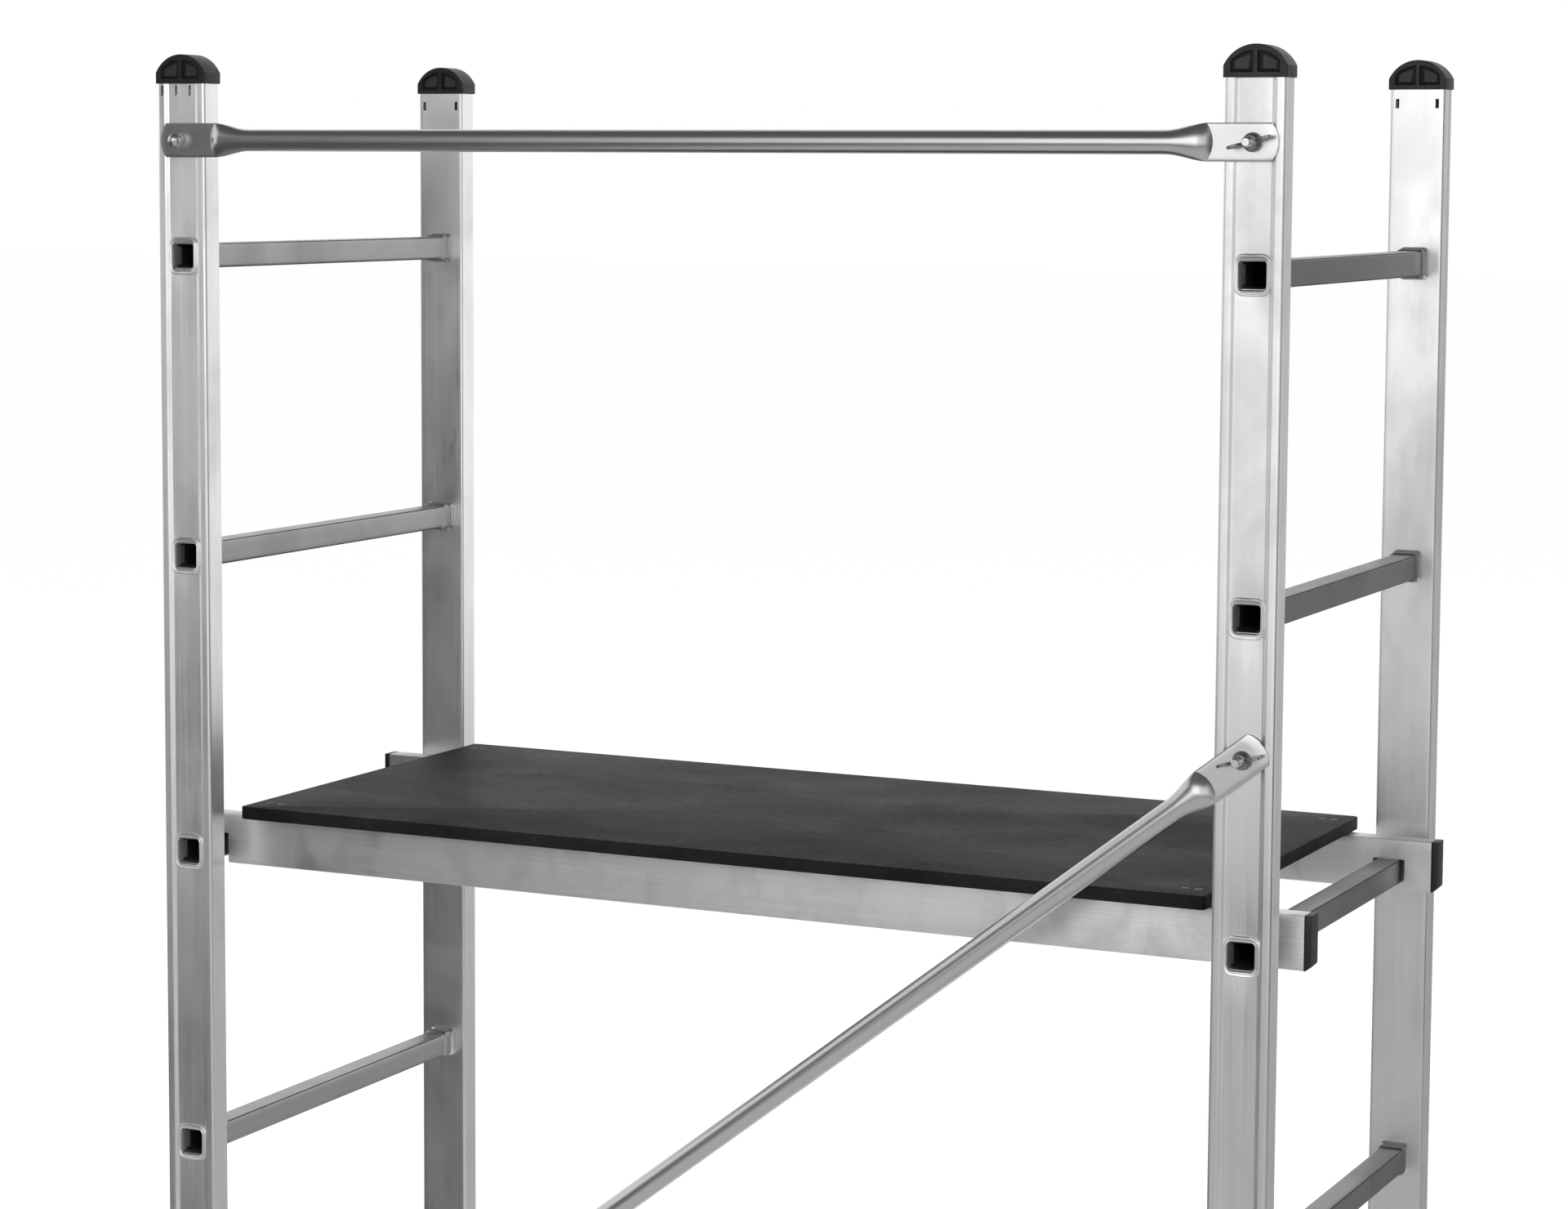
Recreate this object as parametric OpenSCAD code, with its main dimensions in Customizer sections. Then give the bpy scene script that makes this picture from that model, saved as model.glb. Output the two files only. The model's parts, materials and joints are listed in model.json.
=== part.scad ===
// Mobile tower scaffold: two ladder frames on castor beams, joined by a
// platform, a guardrail and one diagonal brace.
// X runs along the tower, Y across it (front is -Y), Z up from the floor.

/* [Ladders] */
// Distance between the two ladders, centre to centre
ladder_gap = 1040; // [900:10:1200]
// Width over the two stiles of a ladder
ladder_w = 490; // [440:5:600]
// Stile section along the tower
stile_w = 52; // [46:1:60]
// Stile section across the tower
stile_d = 24; // [22:1:28]
// Height from one rung to the next
rung_pitch = 280; // [250:5:300]
// Outer size of the square rung tube
rung_w = 23; // [20:0.5:24]

/* [Platform] */
// Height of the top of the board above the rung it hangs on
board_rise = 42; // [38:1:48]
// Length of the board along the tower
board_l = 958; // [800:2:960]
// Width of the board across the tower
board_w = 436; // [380:2:438]
// Thickness of the board
board_t = 12; // [9:1:15]
// Overall length of a platform rail with its end plugs
rail_l = 1132; // [1120:2:1160]

/* [Guardrail and brace] */
// Outer diameter of the round tube
tube_d = 20; // [18:1:24]
// Height of the guardrail above the top rung
guardrail_rise = 107; // [80:1:130]
// Depth of the upper end of the brace below the top rung
brace_high_drop = 396; // [380:2:420]
// Depth of the lower end of the brace below the top rung
brace_low_drop = 1200; // [1160:5:1240]

/* [Base] */
// Length of a base beam across the tower
beam_l = 880; // [840:10:1200]
// Diameter of a castor wheel
wheel_d = 125; // [115:5:125]
// How far the wheel trails behind the swivel axis
castor_trail = 38; // [34:1:40]
// How far a brake lever turns from free to locked
brake_angle = 15; // [8:1:15]

/* [Hidden] */
$fn = 48;

LEFT = -1;
RIGHT = 1;
FRONT = -1;
REAR = 1;
OVER = 1;           // how far a cutter runs past the face it cuts
TOUCH = 0.1;        // clearance between fixed neighbours

// Heights from the floor up
wheel_r = wheel_d / 2;
fork_plate_t = 4;
fork_top = wheel_d + 17;
// Reach of the fork plate inward of its stem and outward of it
fork_back = 26;
fork_front = 44;
fork_plate_z = fork_top - fork_plate_t;
swivel_gap = 0.3;
race_h = 10;
beam_bottom = fork_top + race_h;
beam_h = 40;
beam_w = 60;
beam_wall = 2.5;
stile_bottom = beam_bottom + beam_h;
rung_count = 6;
rung_first = stile_bottom + 150;
rung_top = rung_first + (rung_count - 1) * rung_pitch;
stile_top = rung_top + 159;
platform_rung = rung_first + 3 * rung_pitch;
guardrail_z = rung_top + guardrail_rise;
brace_high_z = rung_top - brace_high_drop;
brace_low_z = rung_top - brace_low_drop;

// Stile section
stile_wall = 1.6;
web_w = 31;         // width of the sunk band on the outer face
web_depth = 2;
web_slope = 1;
stile_x = ladder_gap / 2;
stile_inner_y = ladder_w / 2 - stile_d;

// Rungs
rung_corner = 3;
rung_wall = 1.3;
lip_t = 1.6;
lip_h = 34.5;
lip_corner = 7;
collar_w = 25.5;
collar_l = 15;
collar_ring_w = 27;
collar_ring_l = 4;

// End caps
cap_side_h = 9.5;
cap_h = 27;
cap_over = 1.2;
cap_plug_l = 22;

// Guardrail, brace and what holds them
tube_wall = 1.5;
flat_t = 3;
flat_w = 31.4;
flat_tip = 21;      // from the bolt to the curved end
flat_tip_r = 24;    // curve of that end
rail_flat = 36;     // from a guardrail bolt to where the flat starts to swell
brace_flat = 46;    // the same on the brace, so that its swelling clears the stile's edge
swell_end = 61;     // from a bolt to where the tube is round
bolt_af = 13;       // across the flats of the 8 mm bolt heads and nuts
bolt_head_h = 5.3;
bolt_r = 4;
bolt_clear = 4.25;
nut_bore = 4.05;
washer_r = 8.5;
washer_t = 1.6;
nut_h = 8;
thread_past = 10;   // bolt beyond the face of a tightened wing nut
rail_face_y = ladder_w / 2;

// Platform
board_top = platform_rung + board_rise;
deck_rail_top = board_top - board_t;
deck_rail_h = 47;
deck_rail_w = 20;
deck_rail_y = 190;
deck_rail_wall = 1.8;
plug_t = 6;
plug_chamfer = 5;
notch_w = 30;
deck_rail_bottom = deck_rail_top - deck_rail_h;
notch_top = platform_rung + rung_w / 2;
cross_w = 30;
cross_h = 20;
cross_x = 240;
rivet_head_r = 4.5;
rivet_head_t = 2.1;
rivet_r = 2.4;
rivet_x = [452, 464];

// Base and castors
socket_wall = 3;
socket_h = 80;
socket_fit = 0.3;
foot_bolt_z = stile_bottom + 45;
beam_plug_t = 4;
castor_y = beam_l / 2 - 45;
stem_r = 6;
race_r = 23;
retainer_r = 10;
retainer_h = 6;
stem_nut_af = 19;
stem_nut_h = 10;
fork_inner = 42;
cheek_t = 3;
axle_r = 4;
axle_fit = 0.08;
hub_w = 40;
hub_r = wheel_r - 12;
tyre_w = 32;
axle_z = wheel_r;
pivot_u = castor_trail + 38;
pivot_z = wheel_r + 61.5;
pivot_r = 3;
pivot_fit = 0.05;
lever_w = 36;
pad_gap = 0.35;     // left between the pad and the tyre when locked

function rung_z(i) = rung_first + (i - 1) * rung_pitch;
function hex_r(across_flats) = across_flats / 2 / cos(30);

// ---------- helpers ----------

// Puts a shape drawn with y = 0 on the stile's inner face and +y outwards
module at_stile(side, face) {
    translate([side * stile_x, face * stile_inner_y, 0])
        rotate([0, 0, face == REAR ? 0 : 180]) children();
}

// Square with round corners, centred
module round_square(size, corner) {
    square([size[0] - 2 * corner, size[1]], center = true);
    square([size[0], size[1] - 2 * corner], center = true);
    for (sx = [-1, 1], sy = [-1, 1])
        translate([sx * (size[0] / 2 - corner), sy * (size[1] / 2 - corner)]) circle(r = corner);
}

// Lays a drawing made in X and Z down along Y, from y = from to y = to
module along_y(from, to) {
    translate([0, to, 0]) rotate([90, 0, 0]) linear_extrude(height = to - from) children();
}

// Lays a drawing made in Y and Z along X, from x = from to x = to
module along_x(from, to) {
    translate([from, 0, 0]) rotate([90, 0, 90]) linear_extrude(height = to - from) children();
}

// A bolt shank, washer or hole round an axis along Y
module rod_y(r, from, to, z = 0, x = 0) {
    translate([x, to, z]) rotate([90, 0, 0]) cylinder(r = r, h = to - from);
}

// ---------- ladders ----------

module stile_section() {
    half = stile_w / 2;
    inner = half - stile_wall;
    web = web_w / 2;
    web_in = web + stile_wall / 2;
    difference() {
        polygon([
            [-half, 0], [half, 0], [half, stile_d], [web + web_slope, stile_d],
            [web, stile_d - web_depth], [-web, stile_d - web_depth],
            [-web - web_slope, stile_d], [-half, stile_d]]);
        polygon([
            [-inner, stile_wall], [inner, stile_wall], [inner, stile_d - stile_wall],
            [web_in + web_slope, stile_d - stile_wall],
            [web_in, stile_d - web_depth - stile_wall],
            [-web_in, stile_d - web_depth - stile_wall],
            [-web_in - web_slope, stile_d - stile_wall], [-inner, stile_d - stile_wall]]);
    }
}

// Heights of the bolts that cross a stile
function stile_bolts(side, face) = face == REAR ? [foot_bolt_z] :
    side == LEFT ? [foot_bolt_z, guardrail_z, brace_low_z] : [foot_bolt_z, guardrail_z, brace_high_z];

module stile(side, face) {
    hole = rung_w + 2 * TOUCH;
    color("silver") at_stile(side, face) difference() {
        translate([0, 0, stile_bottom]) linear_extrude(height = stile_top - stile_bottom) stile_section();
        for (i = [1 : rung_count]) translate([0, 0, rung_z(i)])
            along_y(-OVER, stile_d + OVER) round_square([hole, hole], rung_corner);
        for (z = stile_bolts(side, face)) rod_y(bolt_clear, -OVER, stile_d + OVER, z);
    }
}

module rung(side, i) {
    web_y = ladder_w / 2 - web_depth;
    bore = rung_w - 2 * rung_wall;
    color("gainsboro") translate([side * stile_x, 0, rung_z(i)]) difference() {
        union() {
            along_y(-web_y - lip_t, web_y + lip_t) round_square([rung_w, rung_w], rung_corner);
            for (face = [FRONT, REAR]) rotate([0, 0, face == REAR ? 0 : 180]) {
                along_y(web_y + TOUCH, web_y + lip_t) round_square([web_w - 0.6, lip_h], lip_corner);
                along_y(stile_inner_y - collar_l, stile_inner_y - TOUCH)
                    round_square([collar_w, collar_w], rung_corner + 1);
                along_y(stile_inner_y - collar_ring_l, stile_inner_y - TOUCH)
                    round_square([collar_ring_w, collar_ring_w], rung_corner + 2);
            }
        }
        along_y(-web_y - lip_t - OVER, web_y + lip_t + OVER)
            round_square([bore, bore], rung_corner - rung_wall);
    }
}

// Arched end of a cap, drawn above the line z = 0
module cap_outline(half) {
    rise = cap_h - cap_side_h;
    arch_r = (half * half + rise * rise) / (2 * rise);
    intersection() {
        translate([-half, 0]) square([2 * half, cap_h]);
        translate([0, cap_h - arch_r]) circle(r = arch_r, $fn = 96);
    }
}

module stile_cap(side, face) {
    half = stile_w / 2 + cap_over;
    window_w = 15;
    window_h = 9;
    window_x = 10.5;
    window_z = 6;
    window_d = 1.5;
    plug_x = stile_w / 2 - stile_wall - 0.4;
    color("dimgray") at_stile(side, face) translate([0, 0, stile_top + TOUCH]) difference() {
        union() {
            along_y(-cap_over, stile_d + cap_over) cap_outline(half);
            translate([-plug_x, stile_wall + 0.4, -cap_plug_l])
                cube([2 * plug_x, stile_d - web_depth - 2 * stile_wall - 0.8, cap_plug_l + OVER]);
        }
        for (s = [-1, 1]) translate([s * window_x - window_w / 2, 0, window_z]) {
            translate([0, -cap_over - OVER, 0]) cube([window_w, window_d + OVER, window_h]);
            translate([0, stile_d + cap_over - window_d, 0]) cube([window_w, window_d + OVER, window_h]);
        }
    }
}

// ---------- guardrail and brace ----------

// Round tube with pressed flat ends; bolt axes at x = -span / 2 and span / 2, along Y;
// reach is the length of a flat from its bolt inwards
module flat_ended_tube(span, reach) {
    round_half = span / 2 - swell_end;
    slice = 0.5;
    translate([0, -flat_t / 2, 0]) difference() {
        union() {
            translate([-round_half, 0, 0]) rotate([0, 90, 0]) cylinder(d = tube_d, h = 2 * round_half);
            for (s = [-1, 1]) {
                hull() {
                    translate([s * (round_half - slice / 2), 0, 0]) rotate([0, 90, 0])
                        cylinder(d = tube_d, h = slice, center = true, $fn = 32);
                    translate([s * (span / 2 - reach), 0, 0])
                        cube([slice, flat_t, flat_w], center = true);
                }
                along_y(-flat_t / 2, flat_t / 2) intersection() {
                    translate([s * (span / 2 + (flat_tip - reach) / 2), 0])
                        square([reach + flat_tip, flat_w], center = true);
                    translate([s * (span / 2 + flat_tip - flat_tip_r), 0]) circle(r = flat_tip_r);
                }
                along_y(-flat_t / 2, flat_t / 2)
                    translate([s * (span / 2 - reach / 2), 0]) square([reach, flat_w], center = true);
            }
        }
        translate([-round_half, 0, 0]) rotate([0, 90, 0])
            cylinder(d = tube_d - 2 * tube_wall, h = 2 * round_half);
        for (s = [-1, 1]) rod_y(bolt_clear, -tube_d, tube_d, 0, s * span / 2);
    }
}

module guardrail() {
    color("silver") translate([0, -rail_face_y, guardrail_z]) flat_ended_tube(ladder_gap, rail_flat);
}

module diagonal_brace() {
    rise = brace_high_z - brace_low_z;
    color("silver") translate([0, -rail_face_y, (brace_high_z + brace_low_z) / 2])
        rotate([0, -atan2(rise, ladder_gap), 0]) flat_ended_tube(norm([ladder_gap, rise]), brace_flat);
}

FIXED_ENDS = [[-stile_x, guardrail_z], [-stile_x, brace_low_z]];
LOOSE_ENDS = [[stile_x, guardrail_z], [stile_x, brace_high_z]];
washer_face_y = -rail_face_y - flat_t;
nut_face_y = washer_face_y - washer_t;

// Hex-headed bolts, heads on the inner side of the stiles
module rail_bolts() {
    tip = [nut_face_y - nut_h + 2, nut_face_y - nut_h - thread_past];
    ends = [FIXED_ENDS, LOOSE_ENDS];
    color("lightgray") for (kind = [0, 1], p = ends[kind]) {
        rod_y(bolt_r, tip[kind], -stile_inner_y + OVER, p[1], p[0]);
        translate([p[0], -stile_inner_y + bolt_head_h + TOUCH, p[1]]) rotate([90, 30, 0])
            cylinder(r = hex_r(bolt_af), h = bolt_head_h, $fn = 6);
    }
}

module washer(x, z) {
    difference() {
        rod_y(washer_r, nut_face_y, washer_face_y, z, x);
        rod_y(bolt_clear, nut_face_y - OVER, washer_face_y + OVER, z, x);
    }
}

module fixed_washers() {
    color("lightgray") for (p = FIXED_ENDS) washer(p[0], p[1]);
}

// Domed nuts over the fixed ends
module cap_nuts() {
    hex_h = 6.5;
    dome_r = 6.2;
    color("lightgray") for (p = FIXED_ENDS) translate([p[0], nut_face_y, p[1]])
    rotate([90, 0, 0]) difference() {
        union() {
            cylinder(r = hex_r(bolt_af), h = hex_h, $fn = 6);
            intersection() {
                translate([0, 0, hex_h]) sphere(r = dome_r);
                translate([0, 0, hex_h]) cylinder(r = dome_r, h = dome_r + OVER);
            }
        }
        translate([0, 0, -OVER]) cylinder(r = nut_bore, h = nut_h + OVER);
    }
}

// Wing nut with its wings tilted by turn degrees from level
module wing_nut(x, z, turn) {
    hub_low_r = 8;
    hub_high_r = 6.3;
    wing_t = 3;
    wing_tip_r = 5.5;
    wing_reach = 14;
    wing_rise = 11;
    wing_edge = [[5, 1], [8, 1], [17.6, 6.9], [10, 14.8], [5, 7]];
    translate([x, nut_face_y, z]) rotate([90, 0, 0]) rotate([0, 0, -turn]) difference() {
        union() {
            cylinder(r1 = hub_low_r, r2 = hub_high_r, h = nut_h);
            for (s = [-1, 1]) rotate([90, 0, 0]) translate([0, 0, -wing_t / 2])
            linear_extrude(height = wing_t) {
                translate([s * wing_reach, wing_rise]) circle(r = wing_tip_r);
                polygon([for (p = wing_edge) [s * p[0], p[1]]]);
            }
        }
        translate([0, 0, -OVER]) cylinder(r = nut_bore, h = nut_h + 2 * OVER);
    }
}

WING_TURN = 15;     // tilt of the tightened wings

module guardrail_washer() {
    color("lightgray") washer(LOOSE_ENDS[0][0], LOOSE_ENDS[0][1]);
}

module guardrail_wing_nut() {
    color("lightgray") wing_nut(LOOSE_ENDS[0][0], LOOSE_ENDS[0][1], WING_TURN);
}

module brace_washer() {
    color("lightgray") washer(LOOSE_ENDS[1][0], LOOSE_ENDS[1][1]);
}

module brace_wing_nut() {
    color("lightgray") wing_nut(LOOSE_ENDS[1][0], LOOSE_ENDS[1][1], WING_TURN);
}

// ---------- platform ----------

module platform_board() {
    color("dimgray") difference() {
        translate([-board_l / 2, -board_w / 2, board_top - board_t]) cube([board_l, board_w, board_t]);
        for (p = rivet_places()) translate([p[0], p[1], board_top - board_t - OVER])
            cylinder(r = rivet_r + TOUCH, h = board_t + 2 * OVER);
        for (p = rivet_places()) translate([p[0], p[1], board_top - rivet_head_t - 2 * TOUCH])
            cylinder(r1 = rivet_r + TOUCH, r2 = rivet_head_r + 3 * TOUCH, h = rivet_head_t + 3 * TOUCH);
    }
}

function rivet_places() = [for (sx = [-1, 1], x = rivet_x, sy = [-1, 1]) [sx * x, sy * deck_rail_y]];

module platform_rail(face) {
    tube_half = rail_l / 2 - plug_t;
    color("silver") translate([0, face * deck_rail_y, 0]) difference() {
        translate([-tube_half, -deck_rail_w / 2, deck_rail_bottom])
            cube([2 * tube_half, deck_rail_w, deck_rail_h]);
        translate([-tube_half - OVER, -deck_rail_w / 2 + deck_rail_wall, deck_rail_bottom + deck_rail_wall])
            cube([2 * (tube_half + OVER), deck_rail_w - 2 * deck_rail_wall,
                deck_rail_h - 2 * deck_rail_wall]);
        for (s = [-1, 1]) translate([s * stile_x - notch_w / 2, -deck_rail_w, deck_rail_bottom - OVER])
            cube([notch_w, 2 * deck_rail_w, notch_top - deck_rail_bottom + OVER]);
        for (s = [-1, 1], x = rivet_x) translate([s * x, 0, deck_rail_top - deck_rail_wall - OVER])
            cylinder(r = rivet_r + TOUCH, h = deck_rail_wall + 2 * OVER);
    }
}

// Black plugs in the four rail ends, lower corner cut away
module platform_rail_plugs() {
    stub_l = 14;
    stub_fit = 0.3;
    color("dimgray") for (side = [LEFT, RIGHT], face = [FRONT, REAR])
        translate([side * (rail_l / 2 - plug_t), face * deck_rail_y, 0])
        rotate([0, 0, side == RIGHT ? 0 : 180]) {
            translate([0, deck_rail_w / 2, 0]) rotate([90, 0, 0]) linear_extrude(height = deck_rail_w)
                polygon([
                    [TOUCH, deck_rail_bottom], [plug_t - plug_chamfer, deck_rail_bottom],
                    [plug_t, deck_rail_bottom + plug_chamfer], [plug_t, deck_rail_top],
                    [TOUCH, deck_rail_top]]);
            translate([-stub_l, -deck_rail_w / 2 + deck_rail_wall + stub_fit,
                       deck_rail_bottom + deck_rail_wall + stub_fit])
                cube([stub_l + OVER, deck_rail_w - 2 * (deck_rail_wall + stub_fit),
                      deck_rail_h - 2 * (deck_rail_wall + stub_fit)]);
        }
}

// Two tubes under the board, from rail to rail
module platform_cross_members() {
    reach = deck_rail_y - deck_rail_w / 2;
    color("silver") for (s = [-1, 1]) translate([s * cross_x, 0, deck_rail_top - cross_h / 2])
        along_y(-reach, reach) difference() {
            square([cross_w, cross_h], center = true);
            square([cross_w - 2 * deck_rail_wall, cross_h - 2 * deck_rail_wall], center = true);
        }
}

// Countersunk rivets, flush with the board
module platform_rivets() {
    below = 3;
    bottom = deck_rail_top - deck_rail_wall - below;
    color("lightgray") for (p = rivet_places()) translate([p[0], p[1], 0]) {
        translate([0, 0, board_top - rivet_head_t])
            cylinder(r1 = rivet_r, r2 = rivet_head_r, h = rivet_head_t);
        translate([0, 0, bottom]) cylinder(r = rivet_r, h = board_top - rivet_head_t - bottom);
    }
}

// ---------- base ----------

// Box tube with two welded sockets that take the feet of a ladder
module base_beam(side) {
    inner = [stile_w + 2 * socket_fit, stile_d + 2 * socket_fit];
    outer = [inner[0] + 2 * socket_wall, inner[1] + 2 * socket_wall];
    foot_y = stile_inner_y + stile_d / 2;
    color("silver") translate([side * stile_x, 0, 0]) difference() {
        union() {
            translate([-beam_w / 2, -beam_l / 2, beam_bottom]) cube([beam_w, beam_l, beam_h]);
            for (face = [FRONT, REAR]) translate([0, face * foot_y, stile_bottom + socket_h / 2])
                cube([outer[0], outer[1], socket_h], center = true);
        }
        translate([-beam_w / 2 + beam_wall, -beam_l / 2 - OVER, beam_bottom + beam_wall])
            cube([beam_w - 2 * beam_wall, beam_l + 2 * OVER, beam_h - 2 * beam_wall]);
        for (face = [FRONT, REAR]) {
            translate([0, face * foot_y, stile_bottom + socket_h / 2 + OVER])
                cube([inner[0], inner[1], socket_h + 2 * OVER], center = true);
            rod_y(bolt_clear, face * foot_y - outer[1], face * foot_y + outer[1], foot_bolt_z);
            translate([0, face * castor_y, beam_bottom - OVER])
                cylinder(r = stem_r + TOUCH, h = beam_h + 2 * OVER);
        }
    }
}

module base_beam_plugs() {
    stub_l = 16;
    stub_fit = 0.3;
    color("dimgray") for (side = [LEFT, RIGHT], face = [FRONT, REAR])
        translate([side * stile_x, face * beam_l / 2, beam_bottom + beam_h / 2])
        rotate([0, 0, face == REAR ? 0 : 180]) {
            along_y(TOUCH, beam_plug_t) round_square([beam_w, beam_h], 2);
            along_y(-stub_l, OVER)
                square([beam_w - 2 * (beam_wall + stub_fit),
                    beam_h - 2 * (beam_wall + stub_fit)], center = true);
        }
}

// Bolts through the foot sockets, heads outwards, nuts inwards
module foot_bolts() {
    reach = stile_d / 2 + socket_fit + socket_wall;
    foot_y = stile_inner_y + stile_d / 2;
    nut_t = 6.5;
    past = 3;
    color("lightgray") for (side = [LEFT, RIGHT], face = [FRONT, REAR])
        translate([side * stile_x, face * foot_y, foot_bolt_z]) rotate([0, 0, face == REAR ? 0 : 180]) {
            rod_y(bolt_r, -reach - nut_t - past, reach + TOUCH + OVER);
            translate([0, reach + TOUCH + bolt_head_h, 0]) rotate([90, 30, 0])
                cylinder(r = hex_r(bolt_af), h = bolt_head_h, $fn = 6);
            translate([0, -reach - TOUCH, 0]) rotate([90, 30, 0])
                cylinder(r = hex_r(bolt_af), h = nut_t, $fn = 6);
        }
}

// ---------- castors ----------

// Puts a castor part, drawn with its swivel axis on Z and its trail along +y, in its place
module at_castor(side, face) {
    translate([side * stile_x, face * castor_y, 0]) rotate([0, 0, face == REAR ? 0 : 180]) children();
}

// Threaded stems with their race cups, lower retainers and nuts
module castor_stems() {
    retainer_z = fork_plate_z - swivel_gap - retainer_h;
    color("lightgray") for (side = [LEFT, RIGHT], face = [FRONT, REAR]) at_castor(side, face) {
        translate([0, 0, retainer_z]) cylinder(r = stem_r, h = stile_bottom + stem_nut_h + 5 - retainer_z);
        translate([0, 0, retainer_z]) cylinder(r = retainer_r, h = retainer_h);
        translate([0, 0, fork_top + swivel_gap]) cylinder(r = race_r, h = race_h - swivel_gap - TOUCH);
        translate([0, 0, stile_bottom + TOUCH]) cylinder(r = 12, h = 2);
        translate([0, 0, stile_bottom + TOUCH + 2])
            cylinder(r = hex_r(stem_nut_af), h = stem_nut_h, $fn = 6);
    }
}

// Side view of a fork cheek; y is the drawing's first axis, z its second
module cheek_outline() {
    eye_r = 14;
    ear_r = 8;
    translate([castor_trail, axle_z]) circle(r = eye_r);
    translate([pivot_u, pivot_z]) circle(r = ear_r);
    polygon([
        [-fork_back, fork_top], [fork_front, fork_top], [pivot_u + 3, pivot_z + 7.4], [pivot_u + 7.4, pivot_z - 3],
        [castor_trail + 13, axle_z - 5], [castor_trail - 13, axle_z - 5], [-fork_back, fork_top - 12]]);
}

module fork(side, face) {
    out = fork_inner / 2 + cheek_t;
    color("lightgray") at_castor(side, face) difference() {
        union() {
            translate([-out, -fork_back, fork_plate_z]) cube([2 * out, fork_back + fork_front, fork_plate_t]);
            translate([0, 0, fork_plate_z]) cylinder(r = race_r, h = fork_plate_t);
            for (s = [-1, 1]) along_x(s > 0 ? fork_inner / 2 : -out, s > 0 ? out : -fork_inner / 2)
                cheek_outline();
        }
        translate([0, 0, fork_plate_z - OVER])
            cylinder(r = stem_r + pivot_fit, h = fork_plate_t + 2 * OVER);
        translate([-out - OVER, castor_trail, axle_z]) rotate([0, 90, 0])
            cylinder(r = axle_r + 0.02, h = 2 * (out + OVER));
        translate([-out - OVER, pivot_u, pivot_z]) rotate([0, 90, 0])
            cylinder(r = pivot_r + pivot_fit, h = 2 * (out + OVER));
    }
}

// Wheel body: hub, thin web and rim turned as one
module hub(side, face) {
    half = hub_w / 2;
    rim = tyre_w / 2;
    color("gray") at_castor(side, face) translate([0, castor_trail, axle_z]) rotate([0, 90, 0])
        rotate_extrude($fn = 96)
        polygon([
            [axle_r + axle_fit, -half], [13, -half], [15, -rim + 4], [17, -5], [hub_r - 8, -4],
            [hub_r - 5, -rim], [hub_r, -rim], [hub_r, rim], [hub_r - 5, rim], [hub_r - 8, 4],
            [17, 5], [15, rim - 4], [13, half], [axle_r + axle_fit, half]]);
}

module tyre(side, face) {
    rim = tyre_w / 2;
    crown = 5;
    color("dimgray") at_castor(side, face) translate([0, castor_trail, axle_z]) rotate([0, 90, 0])
        rotate_extrude($fn = 96)
        polygon([
            [hub_r, -rim], [wheel_r - crown, -rim], [wheel_r - 1.2, -rim + 3], [wheel_r, -rim + 7],
            [wheel_r, rim - 7], [wheel_r - 1.2, rim - 3], [wheel_r - crown, rim], [hub_r, rim]]);
}

// Wheel bolt with a hex head and a nut outside the cheeks
module axle(side, face) {
    out = fork_inner / 2 + cheek_t;
    nut_t = 8;
    past = 3;
    color("lightgray") at_castor(side, face) translate([0, castor_trail, axle_z]) rotate([0, 90, 0]) {
        translate([0, 0, -out - bolt_head_h])
            cylinder(r = axle_r, h = 2 * out + bolt_head_h + nut_t + past);
        translate([0, 0, -out - bolt_head_h - TOUCH])
            cylinder(r = hex_r(bolt_af), h = bolt_head_h, $fn = 6);
        translate([0, 0, out + TOUCH]) cylinder(r = hex_r(bolt_af), h = nut_t, $fn = 6);
    }
}

// Side view of the brake lever, drawn pressed down on the tyre
module lever_outline() {
    difference() {
        union() {
            translate([pivot_u, pivot_z]) circle(r = 6.5);
            polygon([
                [pivot_u - 5, pivot_z + 4.1], [pivot_u + 2, pivot_z + 6.2], [pivot_u + 42, pivot_z + 2],
                [pivot_u + 47, pivot_z - 2], [pivot_u + 44, pivot_z - 5], [pivot_u + 14, pivot_z - 4],
                [pivot_u + 8, pivot_z - 18], [pivot_u - 7, pivot_z - 14]]);
        }
        translate([castor_trail, axle_z]) circle(r = wheel_r + pad_gap, $fn = 96);
    }
}

module brake(side, face) {
    pin_out = fork_inner / 2 + cheek_t + 1.5;
    color("firebrick") at_castor(side, face)
        translate([0, pivot_u, pivot_z]) rotate([brake_angle, 0, 0]) translate([0, -pivot_u, -pivot_z]) {
            along_x(-lever_w / 2, lever_w / 2) lever_outline();
            translate([-pin_out, pivot_u, pivot_z]) rotate([0, 90, 0])
                cylinder(r = pivot_r, h = 2 * pin_out);
        }
}

// ---------- the assembly ----------

stile(LEFT, FRONT);  // stile_left_front
stile(LEFT, REAR);  // stile_left_rear
stile(RIGHT, FRONT);  // stile_right_front
stile(RIGHT, REAR);  // stile_right_rear
rung(LEFT, 1);  // rung_left_1
rung(LEFT, 2);  // rung_left_2
rung(LEFT, 3);  // rung_left_3
rung(LEFT, 4);  // rung_left_4
rung(LEFT, 5);  // rung_left_5
rung(LEFT, 6);  // rung_left_6
rung(RIGHT, 1);  // rung_right_1
rung(RIGHT, 2);  // rung_right_2
rung(RIGHT, 3);  // rung_right_3
rung(RIGHT, 4);  // rung_right_4
rung(RIGHT, 5);  // rung_right_5
rung(RIGHT, 6);  // rung_right_6
stile_cap(LEFT, FRONT);  // cap_left_front
stile_cap(LEFT, REAR);  // cap_left_rear
stile_cap(RIGHT, FRONT);  // cap_right_front
stile_cap(RIGHT, REAR);  // cap_right_rear
guardrail();
diagonal_brace();
rail_bolts();
cap_nuts();
fixed_washers();
guardrail_washer();
guardrail_wing_nut();
brace_washer();
brace_wing_nut();
platform_board();
platform_rail(FRONT);  // platform_rail_front
platform_rail(REAR);  // platform_rail_rear
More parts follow.
